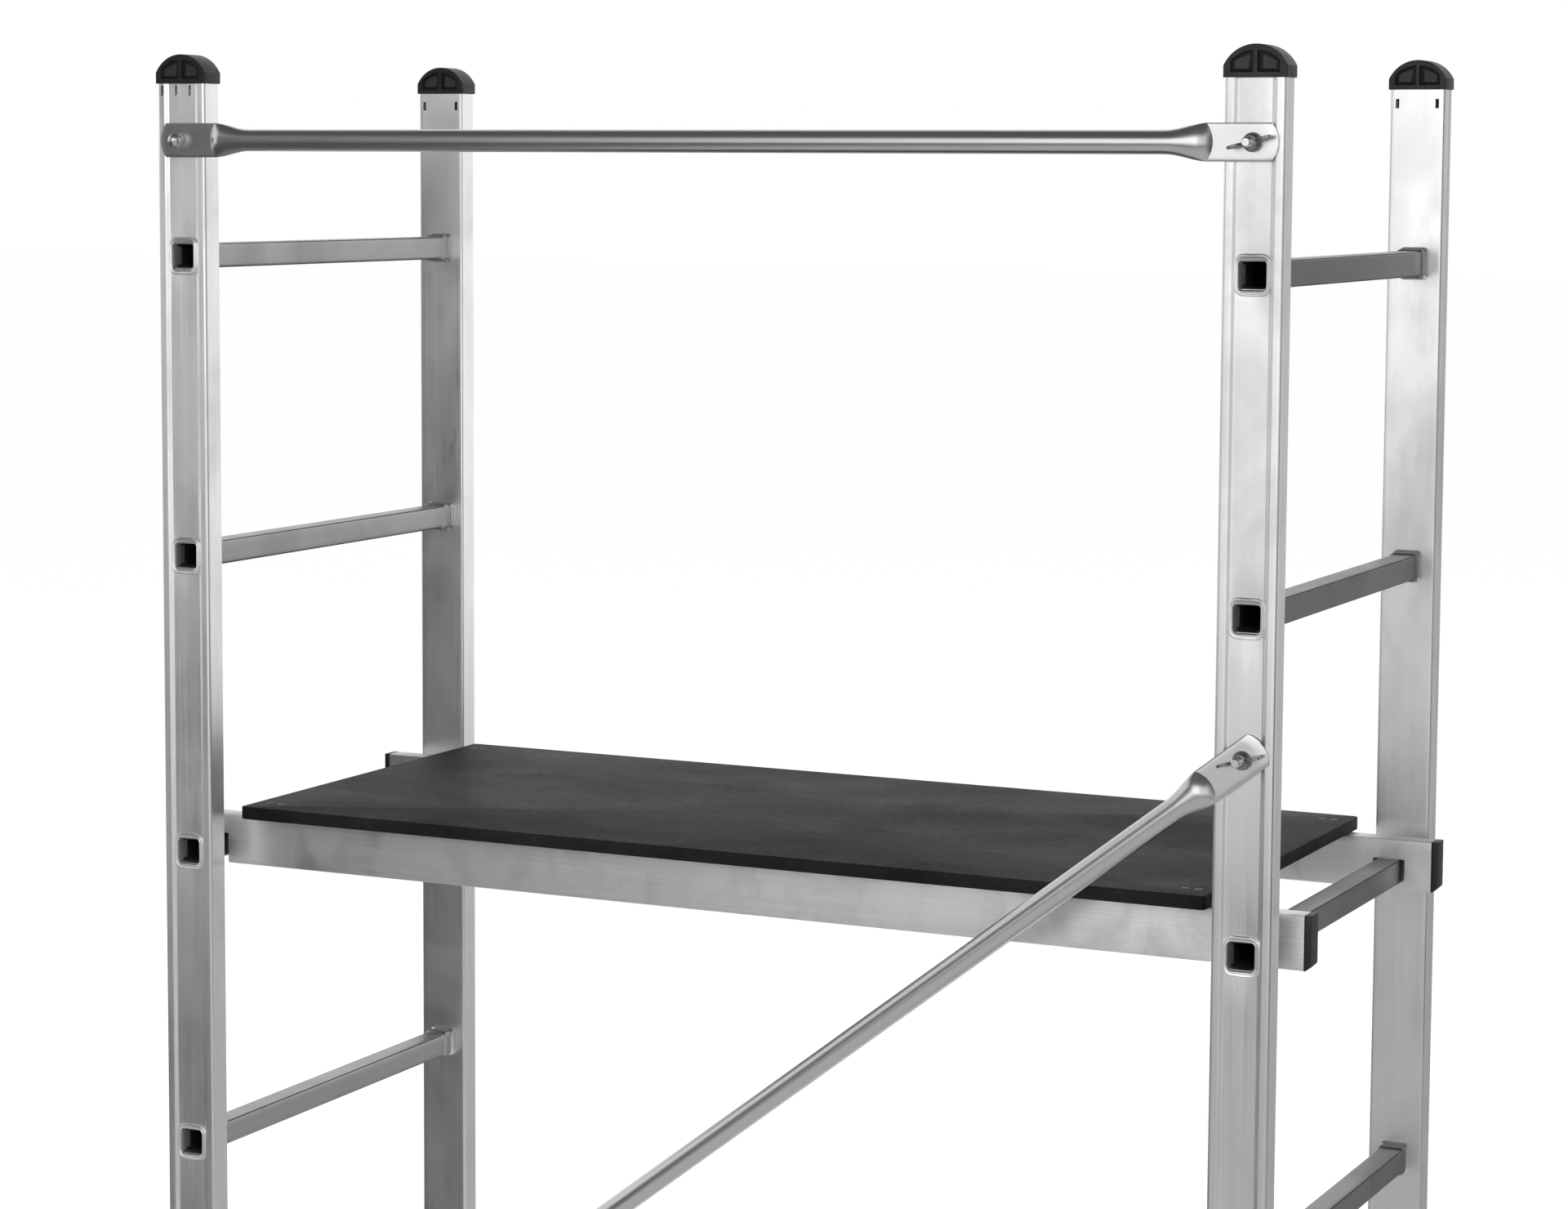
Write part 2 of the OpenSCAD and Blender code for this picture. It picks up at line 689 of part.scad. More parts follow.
platform_rail_plugs();
platform_cross_members();
platform_rivets();
base_beam(LEFT);  // base_beam_left
base_beam(RIGHT);  // base_beam_right
base_beam_plugs();
foot_bolts();
castor_stems();
fork(LEFT, FRONT);  // fork_left_front
hub(LEFT, FRONT);  // hub_left_front
tyre(LEFT, FRONT);  // tyre_left_front
axle(LEFT, FRONT);  // axle_left_front
brake(LEFT, FRONT);  // brake_left_front
fork(LEFT, REAR);  // fork_left_rear
hub(LEFT, REAR);  // hub_left_rear
tyre(LEFT, REAR);  // tyre_left_rear
axle(LEFT, REAR);  // axle_left_rear
brake(LEFT, REAR);  // brake_left_rear
fork(RIGHT, FRONT);  // fork_right_front
hub(RIGHT, FRONT);  // hub_right_front
tyre(RIGHT, FRONT);  // tyre_right_front
axle(RIGHT, FRONT);  // axle_right_front
brake(RIGHT, FRONT);  // brake_right_front
fork(RIGHT, REAR);  // fork_right_rear
hub(RIGHT, REAR);  // hub_right_rear
tyre(RIGHT, REAR);  // tyre_right_rear
axle(RIGHT, REAR);  // axle_right_rear
brake(RIGHT, REAR);  // brake_right_rear
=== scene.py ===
import json
import math

import bpy
import numpy as np
from mathutils import Matrix, Vector


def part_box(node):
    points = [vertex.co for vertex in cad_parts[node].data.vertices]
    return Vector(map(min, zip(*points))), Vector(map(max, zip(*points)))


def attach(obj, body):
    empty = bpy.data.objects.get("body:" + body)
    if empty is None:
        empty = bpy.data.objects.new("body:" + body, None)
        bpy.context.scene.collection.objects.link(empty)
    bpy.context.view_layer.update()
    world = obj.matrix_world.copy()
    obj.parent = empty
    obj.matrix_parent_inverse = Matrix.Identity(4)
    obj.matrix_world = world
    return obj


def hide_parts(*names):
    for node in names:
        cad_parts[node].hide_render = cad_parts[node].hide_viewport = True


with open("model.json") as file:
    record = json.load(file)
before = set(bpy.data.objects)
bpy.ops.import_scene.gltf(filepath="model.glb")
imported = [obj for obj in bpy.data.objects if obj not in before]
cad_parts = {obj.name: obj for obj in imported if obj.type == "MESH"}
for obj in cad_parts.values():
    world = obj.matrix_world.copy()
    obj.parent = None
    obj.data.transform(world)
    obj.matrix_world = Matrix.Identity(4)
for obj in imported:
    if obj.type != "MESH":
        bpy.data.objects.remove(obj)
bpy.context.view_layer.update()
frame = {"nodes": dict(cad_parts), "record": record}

MM = 0.001
SIDES = {"left": -1, "right": 1}
FACES = {"front": -1, "rear": 1}
# Where a drawing's own x, y and z axes are laid
ALONG_X = [(0, 1, 0), (0, 0, 1), (1, 0, 0)]
ALONG_Y = [(1, 0, 0), (0, 0, 1), (0, 1, 0)]
AS_DRAWN = np.eye(3)
SLOT_OF = {row["node"]: row["material_slot"] for row in frame["record"]["subparts"]}


# ---------------------------------------------------------------- camera and studio

def node_centre(node):
    """Middle of a node's box, in metres."""
    low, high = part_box(node)
    return (low + high) / 2


def box_mm(node):
    """Low and high corner of a node's box, in mm."""
    return [np.array(corner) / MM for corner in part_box(node)]


def make_camera():
    """A camera a little above the top rungs, 25.6 degrees to the right of square-on."""
    top_rung = node_centre("rung_right_6").z
    place = Vector((1.485, -3.130, top_rung + 0.084))
    turn, tip, roll = (math.radians(a) for a in (25.621, 5.433, 0.309))
    forward = Vector((-math.sin(turn) * math.cos(tip), math.cos(turn) * math.cos(tip), -math.sin(tip)))
    level = Vector((math.cos(turn), math.sin(turn), 0.0))
    upright = level.cross(forward)
    right = math.cos(roll) * level + math.sin(roll) * upright
    up = right.cross(forward)
    data = bpy.data.cameras.new("camera")
    data.sensor_width = 36.0
    data.lens = 85.53
    data.shift_y = -0.0521
    data.clip_start, data.clip_end = 0.05, 200.0
    camera = bpy.data.objects.new("camera", data)
    axes = Matrix((right, up, -forward)).transposed()
    camera.matrix_world = Matrix.Translation(place) @ axes.to_4x4()
    bpy.context.scene.collection.objects.link(camera)
    bpy.context.scene.camera = camera


class Graph:
    """Short hand for wiring the nodes of a new material or of the world."""

    def __init__(self, owner):
        owner.use_nodes = True
        self.owner, self.tree = owner, owner.node_tree
        self.tree.nodes.clear()

    def add(self, kind, inputs=None, **settings):
        """A new node; inputs are values or sockets, by name or by number."""
        node = self.tree.nodes.new(kind)
        for key, value in settings.items():
            setattr(node, key, value)
        for key, value in (inputs or {}).items():
            socket = node.inputs[key]
            if isinstance(value, bpy.types.NodeSocket):
                self.tree.links.new(value, socket)
            else:
                socket.default_value = value
        return node

    def noise(self, vector, scale, detail=3.0, roughness=0.5, distortion=0.0):
        """A noise value from 0 to 1."""
        node = self.add("ShaderNodeTexNoise", {"Vector": vector, "Scale": scale, "Detail": detail,
                                               "Roughness": roughness, "Distortion": distortion})
        return node.outputs["Fac"]

    def spread(self, value, low, high, to_low, to_high):
        """Maps a value from one range to another, clamped."""
        node = self.add("ShaderNodeMapRange", {"Value": value, "From Min": low, "From Max": high,
                                               "To Min": to_low, "To Max": to_high})
        return node.outputs["Result"]

    def maths(self, operation, first, second):
        """One sum of two values."""
        return self.add("ShaderNodeMath", {0: first, 1: second}, operation=operation).outputs[0]

    def mix(self, factor, first, second, blend="MIX"):
        """A mix of two colours."""
        node = self.add("ShaderNodeMix", data_type="RGBA", blend_type=blend)
        for index, value in ((0, factor), (6, first), (7, second)):
            if isinstance(value, bpy.types.NodeSocket):
                self.tree.links.new(value, node.inputs[index])
            else:
                node.inputs[index].default_value = value
        return node.outputs[2]

    def place(self, scale, turn=(0, 0, 0)):
        """Object coordinates, turned first and then stretched."""
        spot = self.add("ShaderNodeTexCoord").outputs["Object"]
        for inputs in ({"Rotation": turn}, {"Scale": scale}):
            spot = self.add("ShaderNodeMapping", {"Vector": spot, **inputs}).outputs["Vector"]
        return spot

    def skin(self, colour, roughness, height, bump, deep):
        """A surface shader whose face is raised by a height pattern."""
        normal = self.add("ShaderNodeBump", {"Strength": bump, "Distance": deep, "Height": height}).outputs[0]
        return self.add("ShaderNodeBsdfPrincipled", {"Base Color": colour, "Roughness": roughness,
                                                     "Normal": normal})

    def seen(self):
        """1 on rays from the camera, off a mirror surface or through glass, else 0."""
        path = self.add("ShaderNodeLightPath").outputs
        indirect = self.maths("MAXIMUM", path["Is Glossy Ray"], path["Is Transmission Ray"])
        return self.maths("MAXIMUM", path["Is Camera Ray"], indirect)

    def ends_in(self, shader, output="ShaderNodeOutputMaterial"):
        """Joins the last shader to the output and gives back what the nodes belong to."""
        self.tree.links.new(shader.outputs[0], self.add(output).inputs[0])
        return self.owner


def grey(value, tint=0.0):
    """A grey with a little blue in it."""
    return (value, value, value * (1 + tint), 1.0)


def metal(name, tone, rough, streak, fine=0.06, smudge=0.12, bump=0.02, turn=(0, 0, 0), patch=7.0,
          grain=None):
    """Bare metal with drawing lines along the direction that streak leaves unstretched, and hand marks.

    With a grain, its reflections are spread across that direction."""
    g = Graph(bpy.data.materials.new(name))
    lines = g.noise(g.place(streak, turn), 1.0, 4.0, 0.6)
    broad = g.noise(g.place(tuple(s * 0.12 for s in streak), turn), 1.0, 2.0, 0.5)
    marks = g.noise(g.place((patch, patch, patch * 0.7)), 1.0, 5.0, 0.62, 0.6)
    specks = g.noise(g.place((420,) * 3), 1.0, 2.0, 0.5)
    dull, bright = grey(tone * (1 - fine), 0.01), grey(tone * (1 + fine), 0.01)
    colour = g.mix(g.spread(lines, 0.32, 0.68, 0, 1), dull, bright)
    colour = g.mix(g.spread(broad, 0.35, 0.65, 0.0, 0.5), colour, grey(tone * 0.93, 0.01))
    colour = g.mix(g.spread(marks, 0.48, 0.75, 0.0, smudge * 4), colour, grey(tone * 0.72, 0.01))
    wiped, drawn = smudge * 0.4, fine * 0.6
    roughness = g.maths("ADD", g.spread(marks, 0.3, 0.7, rough - wiped, rough + 2 * wiped),
                        g.spread(lines, 0.3, 0.7, -drawn, drawn))
    height = g.maths("ADD", g.maths("MULTIPLY", lines, 0.8), g.maths("MULTIPLY", specks, 0.25))
    shader = g.skin(colour, roughness, height, bump * 5, 0.0004)
    shader.inputs["Metallic"].default_value = 1.0
    if grain:
        facing = g.add("ShaderNodeNewGeometry").outputs["Normal"]
        across = g.add("ShaderNodeVectorMath", {0: grain, 1: facing}, operation="CROSS_PRODUCT").outputs[0]
        shader.inputs["Anisotropic"].default_value = 0.6
        g.tree.links.new(across, shader.inputs["Tangent"])
    return g.ends_in(shader)


def moulded(name, tone, rough, bump=0.15, wear=0.3, tint=0.02):
    """Moulded plastic or rubber: fine grain, faint cloudy tone and rubbed patches."""
    g = Graph(bpy.data.materials.new(name))
    fine = g.noise(g.place((900,) * 3), 1.0, 2.0)
    cloudy = g.noise(g.place((14,) * 3), 1.0, 4.0, 0.6)
    rubbed = g.noise(g.place((60,) * 3), 1.0, 5.0, 0.65)
    colour = g.mix(g.spread(cloudy, 0.35, 0.7, 0, 1), grey(tone * 0.85, tint), grey(tone * 1.25, tint))
    colour = g.mix(g.spread(rubbed, 0.58, 0.8, 0, wear), colour, grey(min(tone * 2.2 + 0.02, 0.8), tint))
    roughness = g.maths("ADD", g.spread(rubbed, 0.3, 0.75, rough + 0.08, rough - 0.08),
                        g.spread(fine, 0.3, 0.7, -0.03, 0.03))
    return g.ends_in(g.skin(colour, roughness, fine, bump, 0.0003))


def phenolic_board():
    """Black film on plywood: a fine woven print pressed into the face, dusty clouds and scuffs."""
    g = Graph(bpy.data.materials.new("black_film"))
    spot = g.place((1, 1, 1))
    weave = [g.add("ShaderNodeTexWave", {"Vector": spot, "Scale": 120.0, "Distortion": 0.15},
                   bands_direction=way).outputs["Fac"] for way in "XY"]
    clouds = g.noise(g.place((5, 7, 5)), 1.0, 5.0, 0.6, 0.4)
    dust = g.noise(g.place((160,) * 3), 1.0, 4.0, 0.7)
    scuff = g.noise(g.place((9, 60, 9), (0, 0, 0.35)), 1.0, 4.0, 0.7)
    colour = g.mix(g.spread(clouds, 0.35, 0.7, 0, 1), grey(0.006, 0.03), grey(0.017, 0.03))
    colour = g.mix(g.spread(dust, 0.55, 0.8, 0, 0.5), colour, grey(0.03, 0.02))
    colour = g.mix(g.spread(scuff, 0.62, 0.8, 0, 0.35), colour, grey(0.035, 0.02))
    roughness = g.maths("ADD", g.spread(clouds, 0.3, 0.7, 0.62, 0.50), g.spread(dust, 0.3, 0.7, -0.04, 0.06))
    woven = g.maths("MULTIPLY", *weave)
    height = g.maths("ADD", g.maths("MULTIPLY", woven, 0.6), g.maths("MULTIPLY", dust, 0.4))
    shader = g.skin(colour, roughness, height, 0.35, 0.0004)
    shader.inputs["Specular IOR Level"].default_value = 0.11
    return g.ends_in(shader)


def floor_paint():
    """Pale matt floor that the camera sees lighter, less so round the middle, where the shadow is kept."""
    g = Graph(bpy.data.materials.new("floor_paint"))
    away = g.add("ShaderNodeVectorMath", {0: g.place((1, 1, 1))}, operation="LENGTH").outputs["Value"]
    paint = g.add("ShaderNodeBsdfDiffuse", {"Color": grey(0.82)})
    lift = g.add("ShaderNodeEmission", {"Color": grey(1.0), "Strength": g.spread(away, 0.5, 5.0, 0.26, 0.62)})
    black = g.add("ShaderNodeEmission", {"Color": grey(0.0), "Strength": 0.0})
    choose = g.add("ShaderNodeMixShader", {0: g.seen(), 1: black.outputs[0], 2: lift.outputs[0]})
    return g.ends_in(g.add("ShaderNodeAddShader", {0: paint.outputs[0], 1: choose.outputs[0]}))


def make_world():
    """White where the camera or a mirror surface sees it, softer as a lamp."""
    world = bpy.data.worlds.new("studio")
    bpy.context.scene.world = world
    g = Graph(world)
    white = {"Color": grey(1.0), "Strength": g.spread(g.seen(), 0, 1, 0.45, 1.0)}
    g.ends_in(g.add("ShaderNodeBackground", white), "ShaderNodeOutputWorld")


def area_lamp(name, place, target, size, power):
    """A soft rectangular lamp that faces a target."""
    data = bpy.data.lights.new(name, "AREA")
    data.shape = "RECTANGLE"
    data.size, data.size_y = size
    data.energy = power
    lamp = bpy.data.objects.new(name, data)
    lamp.location = place
    lamp.rotation_euler = (Vector(target) - Vector(place)).to_track_quat("-Z", "Y").to_euler()
    lamp.visible_glossy = False
    bpy.context.scene.collection.objects.link(lamp)


def stage_sheet(name, corners, material):
    """A flat four-cornered stage piece."""
    mesh = bpy.data.meshes.new(name)
    mesh.from_pydata(corners, [], [(0, 1, 2, 3)])
    mesh.materials.append(material)
    sheet = bpy.data.objects.new(name, mesh)
    bpy.context.scene.collection.objects.link(sheet)
    return sheet


def card(name, tone, corners):
    """A stage card of an even grey that only mirror surfaces see."""
    g = Graph(bpy.data.materials.new(name + "_shade"))
    shade = g.ends_in(g.add("ShaderNodeEmission", {"Color": grey(1.0), "Strength": tone}))
    sheet = stage_sheet(name, corners, shade)
    sheet.visible_camera = sheet.visible_shadow = sheet.visible_diffuse = False


LEVEL_CARDS = {  # tone, x from, x to, y from, y to, height, in metres
    "card_floor": (0.18, -9.0, 9.0, -8.0, -3.5, 0.012),
    "card_floor_near": (0.55, -9.0, 9.0, -3.5, 0.4, 0.012),
    "card_floor_left": (0.07, -8.0, -1.1, -6.0, 0.8, 0.015),
    "card_floor_back": (0.38, -3.0, 6.0, 1.2, 7.5, 0.012),
    "card_ceiling": (0.10, -4.5, 4.5, -5.0, 1.6, 4.7)}
UPRIGHT_CARDS = {  # tone, one floor point, the other floor point, foot, head
    "card_left": (0.045, (-5.8, -4.4), (-2.7, -5.7), 0.0, 4.7),
    "card_right": (0.08, (2.7, -1.7), (2.7, 0.7), 0.0, 3.2),
    "card_bright": (1.8, (-2.4, -6.5), (1.8, -6.5), 0.9, 4.6),
    "card_inner": (0.06, (-1.25, -0.20), (-0.60, -0.20), 0.1, 1.84),
    "card_rungs": (0.34, (0.605, 0.42), (0.95, 0.42), 0.1, 2.0)}


def make_studio():
    """Floor, world, lamps and the grey cards that the metal mirrors."""
    reach = 60.0
    stage_sheet("floor", [(-reach, -reach, 0), (reach, -reach, 0), (reach, reach, 0), (-reach, reach, 0)],
                floor_paint())
    make_world()
    area_lamp("key_lamp", (3.2, -3.6, 4.2), (0.2, 0, 1.2), (2.6, 2.6), 150)
    area_lamp("fill_lamp", (-3.6, -2.6, 3.4), (0, 0, 1.2), (2.4, 2.4), 50)
    area_lamp("back_lamp", (0.5, 4.2, 4.0), (0, 0, 1.2), (3.0, 2.0), 60)
    for name, (tone, west, east, south, north, z) in LEVEL_CARDS.items():
        card(name, tone, [(west, south, z), (east, south, z), (east, north, z), (west, north, z)])
    for name, (tone, first, second, foot, head) in UPRIGHT_CARDS.items():
        card(name, tone, [(*first, foot), (*second, foot), (*second, head), (*first, head)])


# ---------------------------------------------------------------- finishes

# One material a finish; some finishes are darker or lighter copies of another that carry painted shade or a
# painted highlight
FINISH = {
    "stile": metal("stile_aluminium", 0.92, 0.35, (900, 900, 5), smudge=0.16, grain=(0.02, 0.03, 1)),
    "rung_left": metal("rung_aluminium", 0.40, 0.40, (900, 6, 900), smudge=0.12, grain=(0.02, 1, 0.03)),
    # The right ladder's rungs take a darker copy of the rung aluminium: painted shade
    "rung_right": metal("rung_aluminium_painted_shade", 0.26, 0.40, (900, 6, 900), smudge=0.12, grain=(0.02, 1, 0.03)),
    "guardrail": metal("guardrail_tube_metal", 0.66, 0.29, (4, 300, 300), fine=0.015, smudge=0.04, bump=0.0),
    "brace": metal("brace_tube_metal", 0.66, 0.30, (4, 300, 300), fine=0.015, smudge=0.04, bump=0.0,
                   turn=(0, math.radians(37.7), 0)),
    "deck_rail": metal("deck_rail_aluminium", 0.88, 0.46, (5, 500, 500), smudge=0.2, patch=16,
                       grain=(1, 0.02, 0.03)),
    "beam": metal("beam_aluminium", 0.66, 0.42, (900, 5, 900), smudge=0.15),
    "wing": metal("wing_nut_zinc", 0.30, 0.30, (60, 60, 60), fine=0.06, smudge=0.12, patch=90),
    "zinc": metal("zinc_plate", 0.66, 0.30, (60, 60, 60), fine=0.04, smudge=0.08, patch=60),
    "rivet": metal("rivet_dull", 0.16, 0.42, (60, 60, 60), patch=60),
    # Near black inside the rungs' bore: painted shade
    "bore": moulded("rung_bore_painted_shade", 0.012, 0.6, wear=0.05),
    "board": phenolic_board(),
    "cap": moulded("cap_black", 0.004, 0.45, bump=0.05, wear=0.10),
    # Darker copy of the cap plastic for the sunk windows: painted shade
    "cap_shaded_window": moulded("cap_window_painted_shade", 0.002, 0.7, bump=0.02, wear=0.02),
    # Lighter copy of the cap plastic for the raised panes: painted highlight
    "cap_highlit_pane": moulded("cap_pane_painted_highlight", 0.012, 0.45, bump=0.05, wear=0.2),
    "hub": moulded("hub_grey", 0.28, 0.5),
    "tyre": moulded("tyre_grey", 0.11, 0.75, wear=0.2),
    "pedal": moulded("pedal_black", 0.03, 0.4),
}
# Slots whose finish goes by another name
SLOT_FINISH = {"rung": "rung_left", "tube": "guardrail", "cap_plastic": "cap", "hub_plastic": "hub",
               "tyre_rubber": "tyre"}


def dress_cad():
    """Gives each carried-over node the finish of its slot."""
    for node, slot in SLOT_OF.items():
        materials = frame["nodes"][node].data.materials
        materials.clear()
        materials.append(FINISH[SLOT_FINISH.get(slot, slot)])


# ---------------------------------------------------------------- mesh tools

def grid_quads(rows, cols, wrap_rows=False, wrap_cols=True):
    """Corner numbers of the quads between neighbouring points of a rows x cols grid."""
    r = np.arange(rows if wrap_rows else rows - 1)[:, None]
    c = np.arange(cols if wrap_cols else cols - 1)[None, :]
    r_next, c_next = (r + 1) % rows, (c + 1) % cols
    return np.stack([r * cols + c, r * cols + c_next, r_next * cols + c_next, r_next * cols + c], -1)


def outward(points, faces):
    """The faces, turned round if together they hold a negative volume."""
    volume = 0.0
    for f in faces:
        corners = points[f]
        for k in range(1, f.shape[1] - 1):
            volume += np.einsum("ij,ij->i", corners[:, 0], np.cross(corners[:, k], corners[:, k + 1])).sum()
    return faces if volume > 0 else [f[:, ::-1] for f in faces]


def loft(rings):
    """Closed skin over rings of points (stations, around, 3), each end closed by a fan to its middle."""
    stations, around = rings.shape[:2]
    points = np.concatenate([rings.reshape(-1, 3), rings[:1].mean(1), rings[-1:].mean(1)])
    sides = grid_quads(stations, around).reshape(-1, 4)
    k = np.arange(around)
    k_next = (k + 1) % around
    last = (stations - 1) * around
    start = np.stack([np.full(around, stations * around), k_next, k], 1)
    end = np.stack([np.full(around, stations * around + 1), last + k, last + k_next], 1)
    return points, outward(points, [sides, start, end])


def hoop(rings):
    """Closed skin over rings whose last ring joins the first, such as a tube's outer and inner wall."""
    stations, around = rings.shape[:2]
    points = rings.reshape(-1, 3)
    return points, outward(points, [grid_quads(stations, around, True).reshape(-1, 4)])


def turned(profile, around=64):
    """Rings made by turning closed (radius, height) points round Z: x = r cos a, y = r sin a, z = h."""
    angle = np.linspace(0, 2 * np.pi, around, endpoint=False)
    radius, height = np.asarray(profile, float).T[..., None]
    return np.stack([radius * np.cos(angle), radius * np.sin(angle), height + 0 * angle], -1)


def rounded_rect(half_x, half_y, corner, arc=5, side=3):
    """Points round rectangles of the given half sizes: four quarter circles joined by straight runs.

    half_x, half_y and corner are arrays with one value a station; the result is (stations, around, 2)."""
    half_x, half_y, corner = np.broadcast_arrays(*(np.atleast_1d(np.asarray(a, float)) for a in
                                                   (half_x, half_y, corner)))
    bend = np.linspace(0, np.pi / 2, arc + 1)
    arcs = []
    for quarter, (sx, sy) in enumerate(((1, 1), (-1, 1), (-1, -1), (1, -1))):
        angle = bend + quarter * np.pi / 2
        x = sx * (half_x - corner)[:, None] + corner[:, None] * np.cos(angle)
        y = sy * (half_y - corner)[:, None] + corner[:, None] * np.sin(angle)
        arcs.append(np.stack([x, y], -1))
    parts = []
    for quarter in range(4):
        here, following = arcs[quarter], arcs[(quarter + 1) % 4]
        share = (np.arange(1, side) / side)[None, :, None]
        parts += [here, here[:, -1:] * (1 - share) + following[:, :1] * share]
    return np.concatenate(parts, 1)


def smooth_step(t):
    """0 before 0, 1 after 1, and 3t^2 - 2t^3 between."""
    t = np.clip(t, 0, 1)
    return t * t * (3 - 2 * t)


def keep_rims_sharp(mesh):
    """Marks the open edges of a sheet as sharp, so that its wall's rim stays crisp."""
    edge_of = np.empty(len(mesh.loops), np.int32)
    mesh.loops.foreach_get("edge_index", edge_of)
    rim = np.bincount(edge_of, minlength=len(mesh.edges)) == 1
    if rim.any():
        sharp = np.empty(len(mesh.edges), bool)
        mesh.edges.foreach_get("use_edge_sharp", sharp)
        mesh.edges.foreach_set("use_edge_sharp", sharp | rim)


def soft_edges(edge, low, high, count=4):
    """(drawn in, height) steps of a plate from low to high: a quarter circle at both its edges."""
    bend = np.linspace(0, np.pi / 2, count)
    drawn, raised = edge * (1 - np.sin(bend)), edge * (1 - np.cos(bend))
    return np.column_stack([np.append(drawn, drawn[::-1]), np.append(low + raised, high - raised[::-1])])


def slab(outline, low, high, edge):
    """A plate: an outline (n, 2) carried from low to high, drawn in at both ends by a quarter circle.

    Each point moves in along (m + n) / (1 + m . n) of its two side normals, which keeps the edge even."""
    outline = np.asarray(outline, float)
    normals = []
    for run in (np.roll(outline, -1, 0) - outline, outline - np.roll(outline, 1, 0)):
        run = run / np.linalg.norm(run, axis=1)[:, None]
        normals.append(np.stack([-run[:, 1], run[:, 0]], 1))
    turning = (outline[:, 0] * np.roll(outline[:, 1], -1) - outline[:, 1] * np.roll(outline[:, 0], -1)).sum()
    inward = (normals[0] + normals[1]) / (1 + (normals[0] * normals[1]).sum(1))[:, None] * np.sign(turning)
    steps = soft_edges(edge, low, high)
    around = len(outline)
    points = np.concatenate([np.column_stack([outline + inward * drawn, np.full(around, level)])
                             for drawn, level in steps])
    ends = np.arange(around)[None, :]
    return points, outward(points, [grid_quads(len(steps), around).reshape(-1, 4), ends[:, ::-1],
                                    ends + (len(steps) - 1) * around])


def laid(skins, columns, place=(0, 0, 0)):
    """Skins with their x, y, z axes laid along the three given directions, then moved."""
    turn = np.array(columns, float)
    spots = [(points @ turn + np.asarray(place, float), faces) for points, faces in skins]
    return [(spot, outward(spot, faces)) for spot, faces in spots]


def both_sides(half):
    """(radius, width) points and their mirror image across the middle, in reverse."""
    return half + [(radius, -width) for radius, width in half[::-1]]


def arc_points(centre, radius, start, end, count=9):
    """Points on a circle from one angle to another, in degrees."""
    angle = np.radians(np.linspace(start, end, count))
    return np.stack([centre[0] + radius * np.cos(angle), centre[1] + radius * np.sin(angle)], 1)


def hexagon(across_flats, per_side=4):
    """Outline of a hexagon with extra points along its sides."""
    corner = arc_points((0, 0), across_flats / 2 / math.cos(math.pi / 6), 0, 300, 6)
    share = (np.arange(per_side) / per_side)[None, :, None]
    return (corner[:, None] * (1 - share) + np.roll(corner, -1, 0)[:, None] * share).reshape(-1, 2)


def hex_block(across_flats, low, high):
    """A hexagon nut or head whose corners are turned down at both faces.

    Height falls from the flat face by 0.6 (r - r_0) where r passes r_0, just inside the flats."""
    points, faces = slab(hexagon(across_flats, 6), low, high, 0.35)
    radius = np.hypot(points[:, 0], points[:, 1])
    fall = 0.6 * np.clip(radius - across_flats / 2 * 0.97, 0, None)
    middle = (low + high) / 2
    points[:, 2] = np.where(points[:, 2] > middle, points[:, 2] - fall, points[:, 2] + fall)
    return points, faces


def thread(radius, low, high, pitch=1.25, around=24):
    """A threaded shank: radius falls by 0.6 in the groove of every pitch; its end is chamfered."""
    turns = max(int((high - low - 1.2) / pitch), 1)
    step = (high - low - 1.2) / turns
    profile = [(radius - 0.3, low)]
    for k in range(turns):
        start = low + 0.2 + k * step
        profile += [(radius, start), (radius, start + 0.25 * step), (radius - 0.6, start + 0.6 * step)]
    profile += [(radius, high - 1.0), (radius, high - 0.8), (radius - 0.9, high)]
    return loft(turned(profile, around))


def box_tube(half_x, half_y, wall, corner, low, high):
    """A square-cut box tube along z with soft rims, as one closed skin."""
    rows = np.array([(0, low + 0.4), (0, high - 0.4), (0.12, high - 0.12), (0.4, high), (wall - 0.3, high),
                     (wall, high - 0.3), (wall, low + 0.3), (wall - 0.3, low), (0.4, low),
                     (0.12, low + 0.12)])
    ring = rounded_rect(half_x - rows[:, 0], half_y - rows[:, 0], np.maximum(corner - rows[:, 0], 0.5), 5, 6)
    z = np.broadcast_to(rows[:, 1][:, None], ring.shape[:2])
    return hoop(np.stack([ring[..., 0], ring[..., 1], z], -1))


def weld_bead(half_x, half_y, corner, level, radius, ripples):
    """A fillet weld round a rounded rectangle: a tube whose radius ripples as 1 + 0.14 sin(k s)."""
    path = rounded_rect(half_x, half_y, corner, 10, 40)[0]
    step = np.linalg.norm(np.roll(path, -1, 0) - path, axis=1)
    along = np.concatenate([[0], np.cumsum(step)[:-1]]) / step.sum() * 2 * np.pi
    heading = np.roll(path, -1, 0) - np.roll(path, 1, 0)
    heading /= np.linalg.norm(heading, axis=1)[:, None]
    out = np.stack([heading[:, 1], -heading[:, 0]], 1)
    angle = np.linspace(0, 2 * np.pi, 12, endpoint=False)
    size = radius * (1 + 0.14 * np.sin(ripples * along) + 0.05 * np.sin(7 * along + 1))[:, None]
    side = size * np.cos(angle)
    flat = path[:, None, :] + out[:, None, :] * side[..., None]
    return hoop(np.concatenate([flat, (level + size * np.sin(angle))[..., None]], -1))


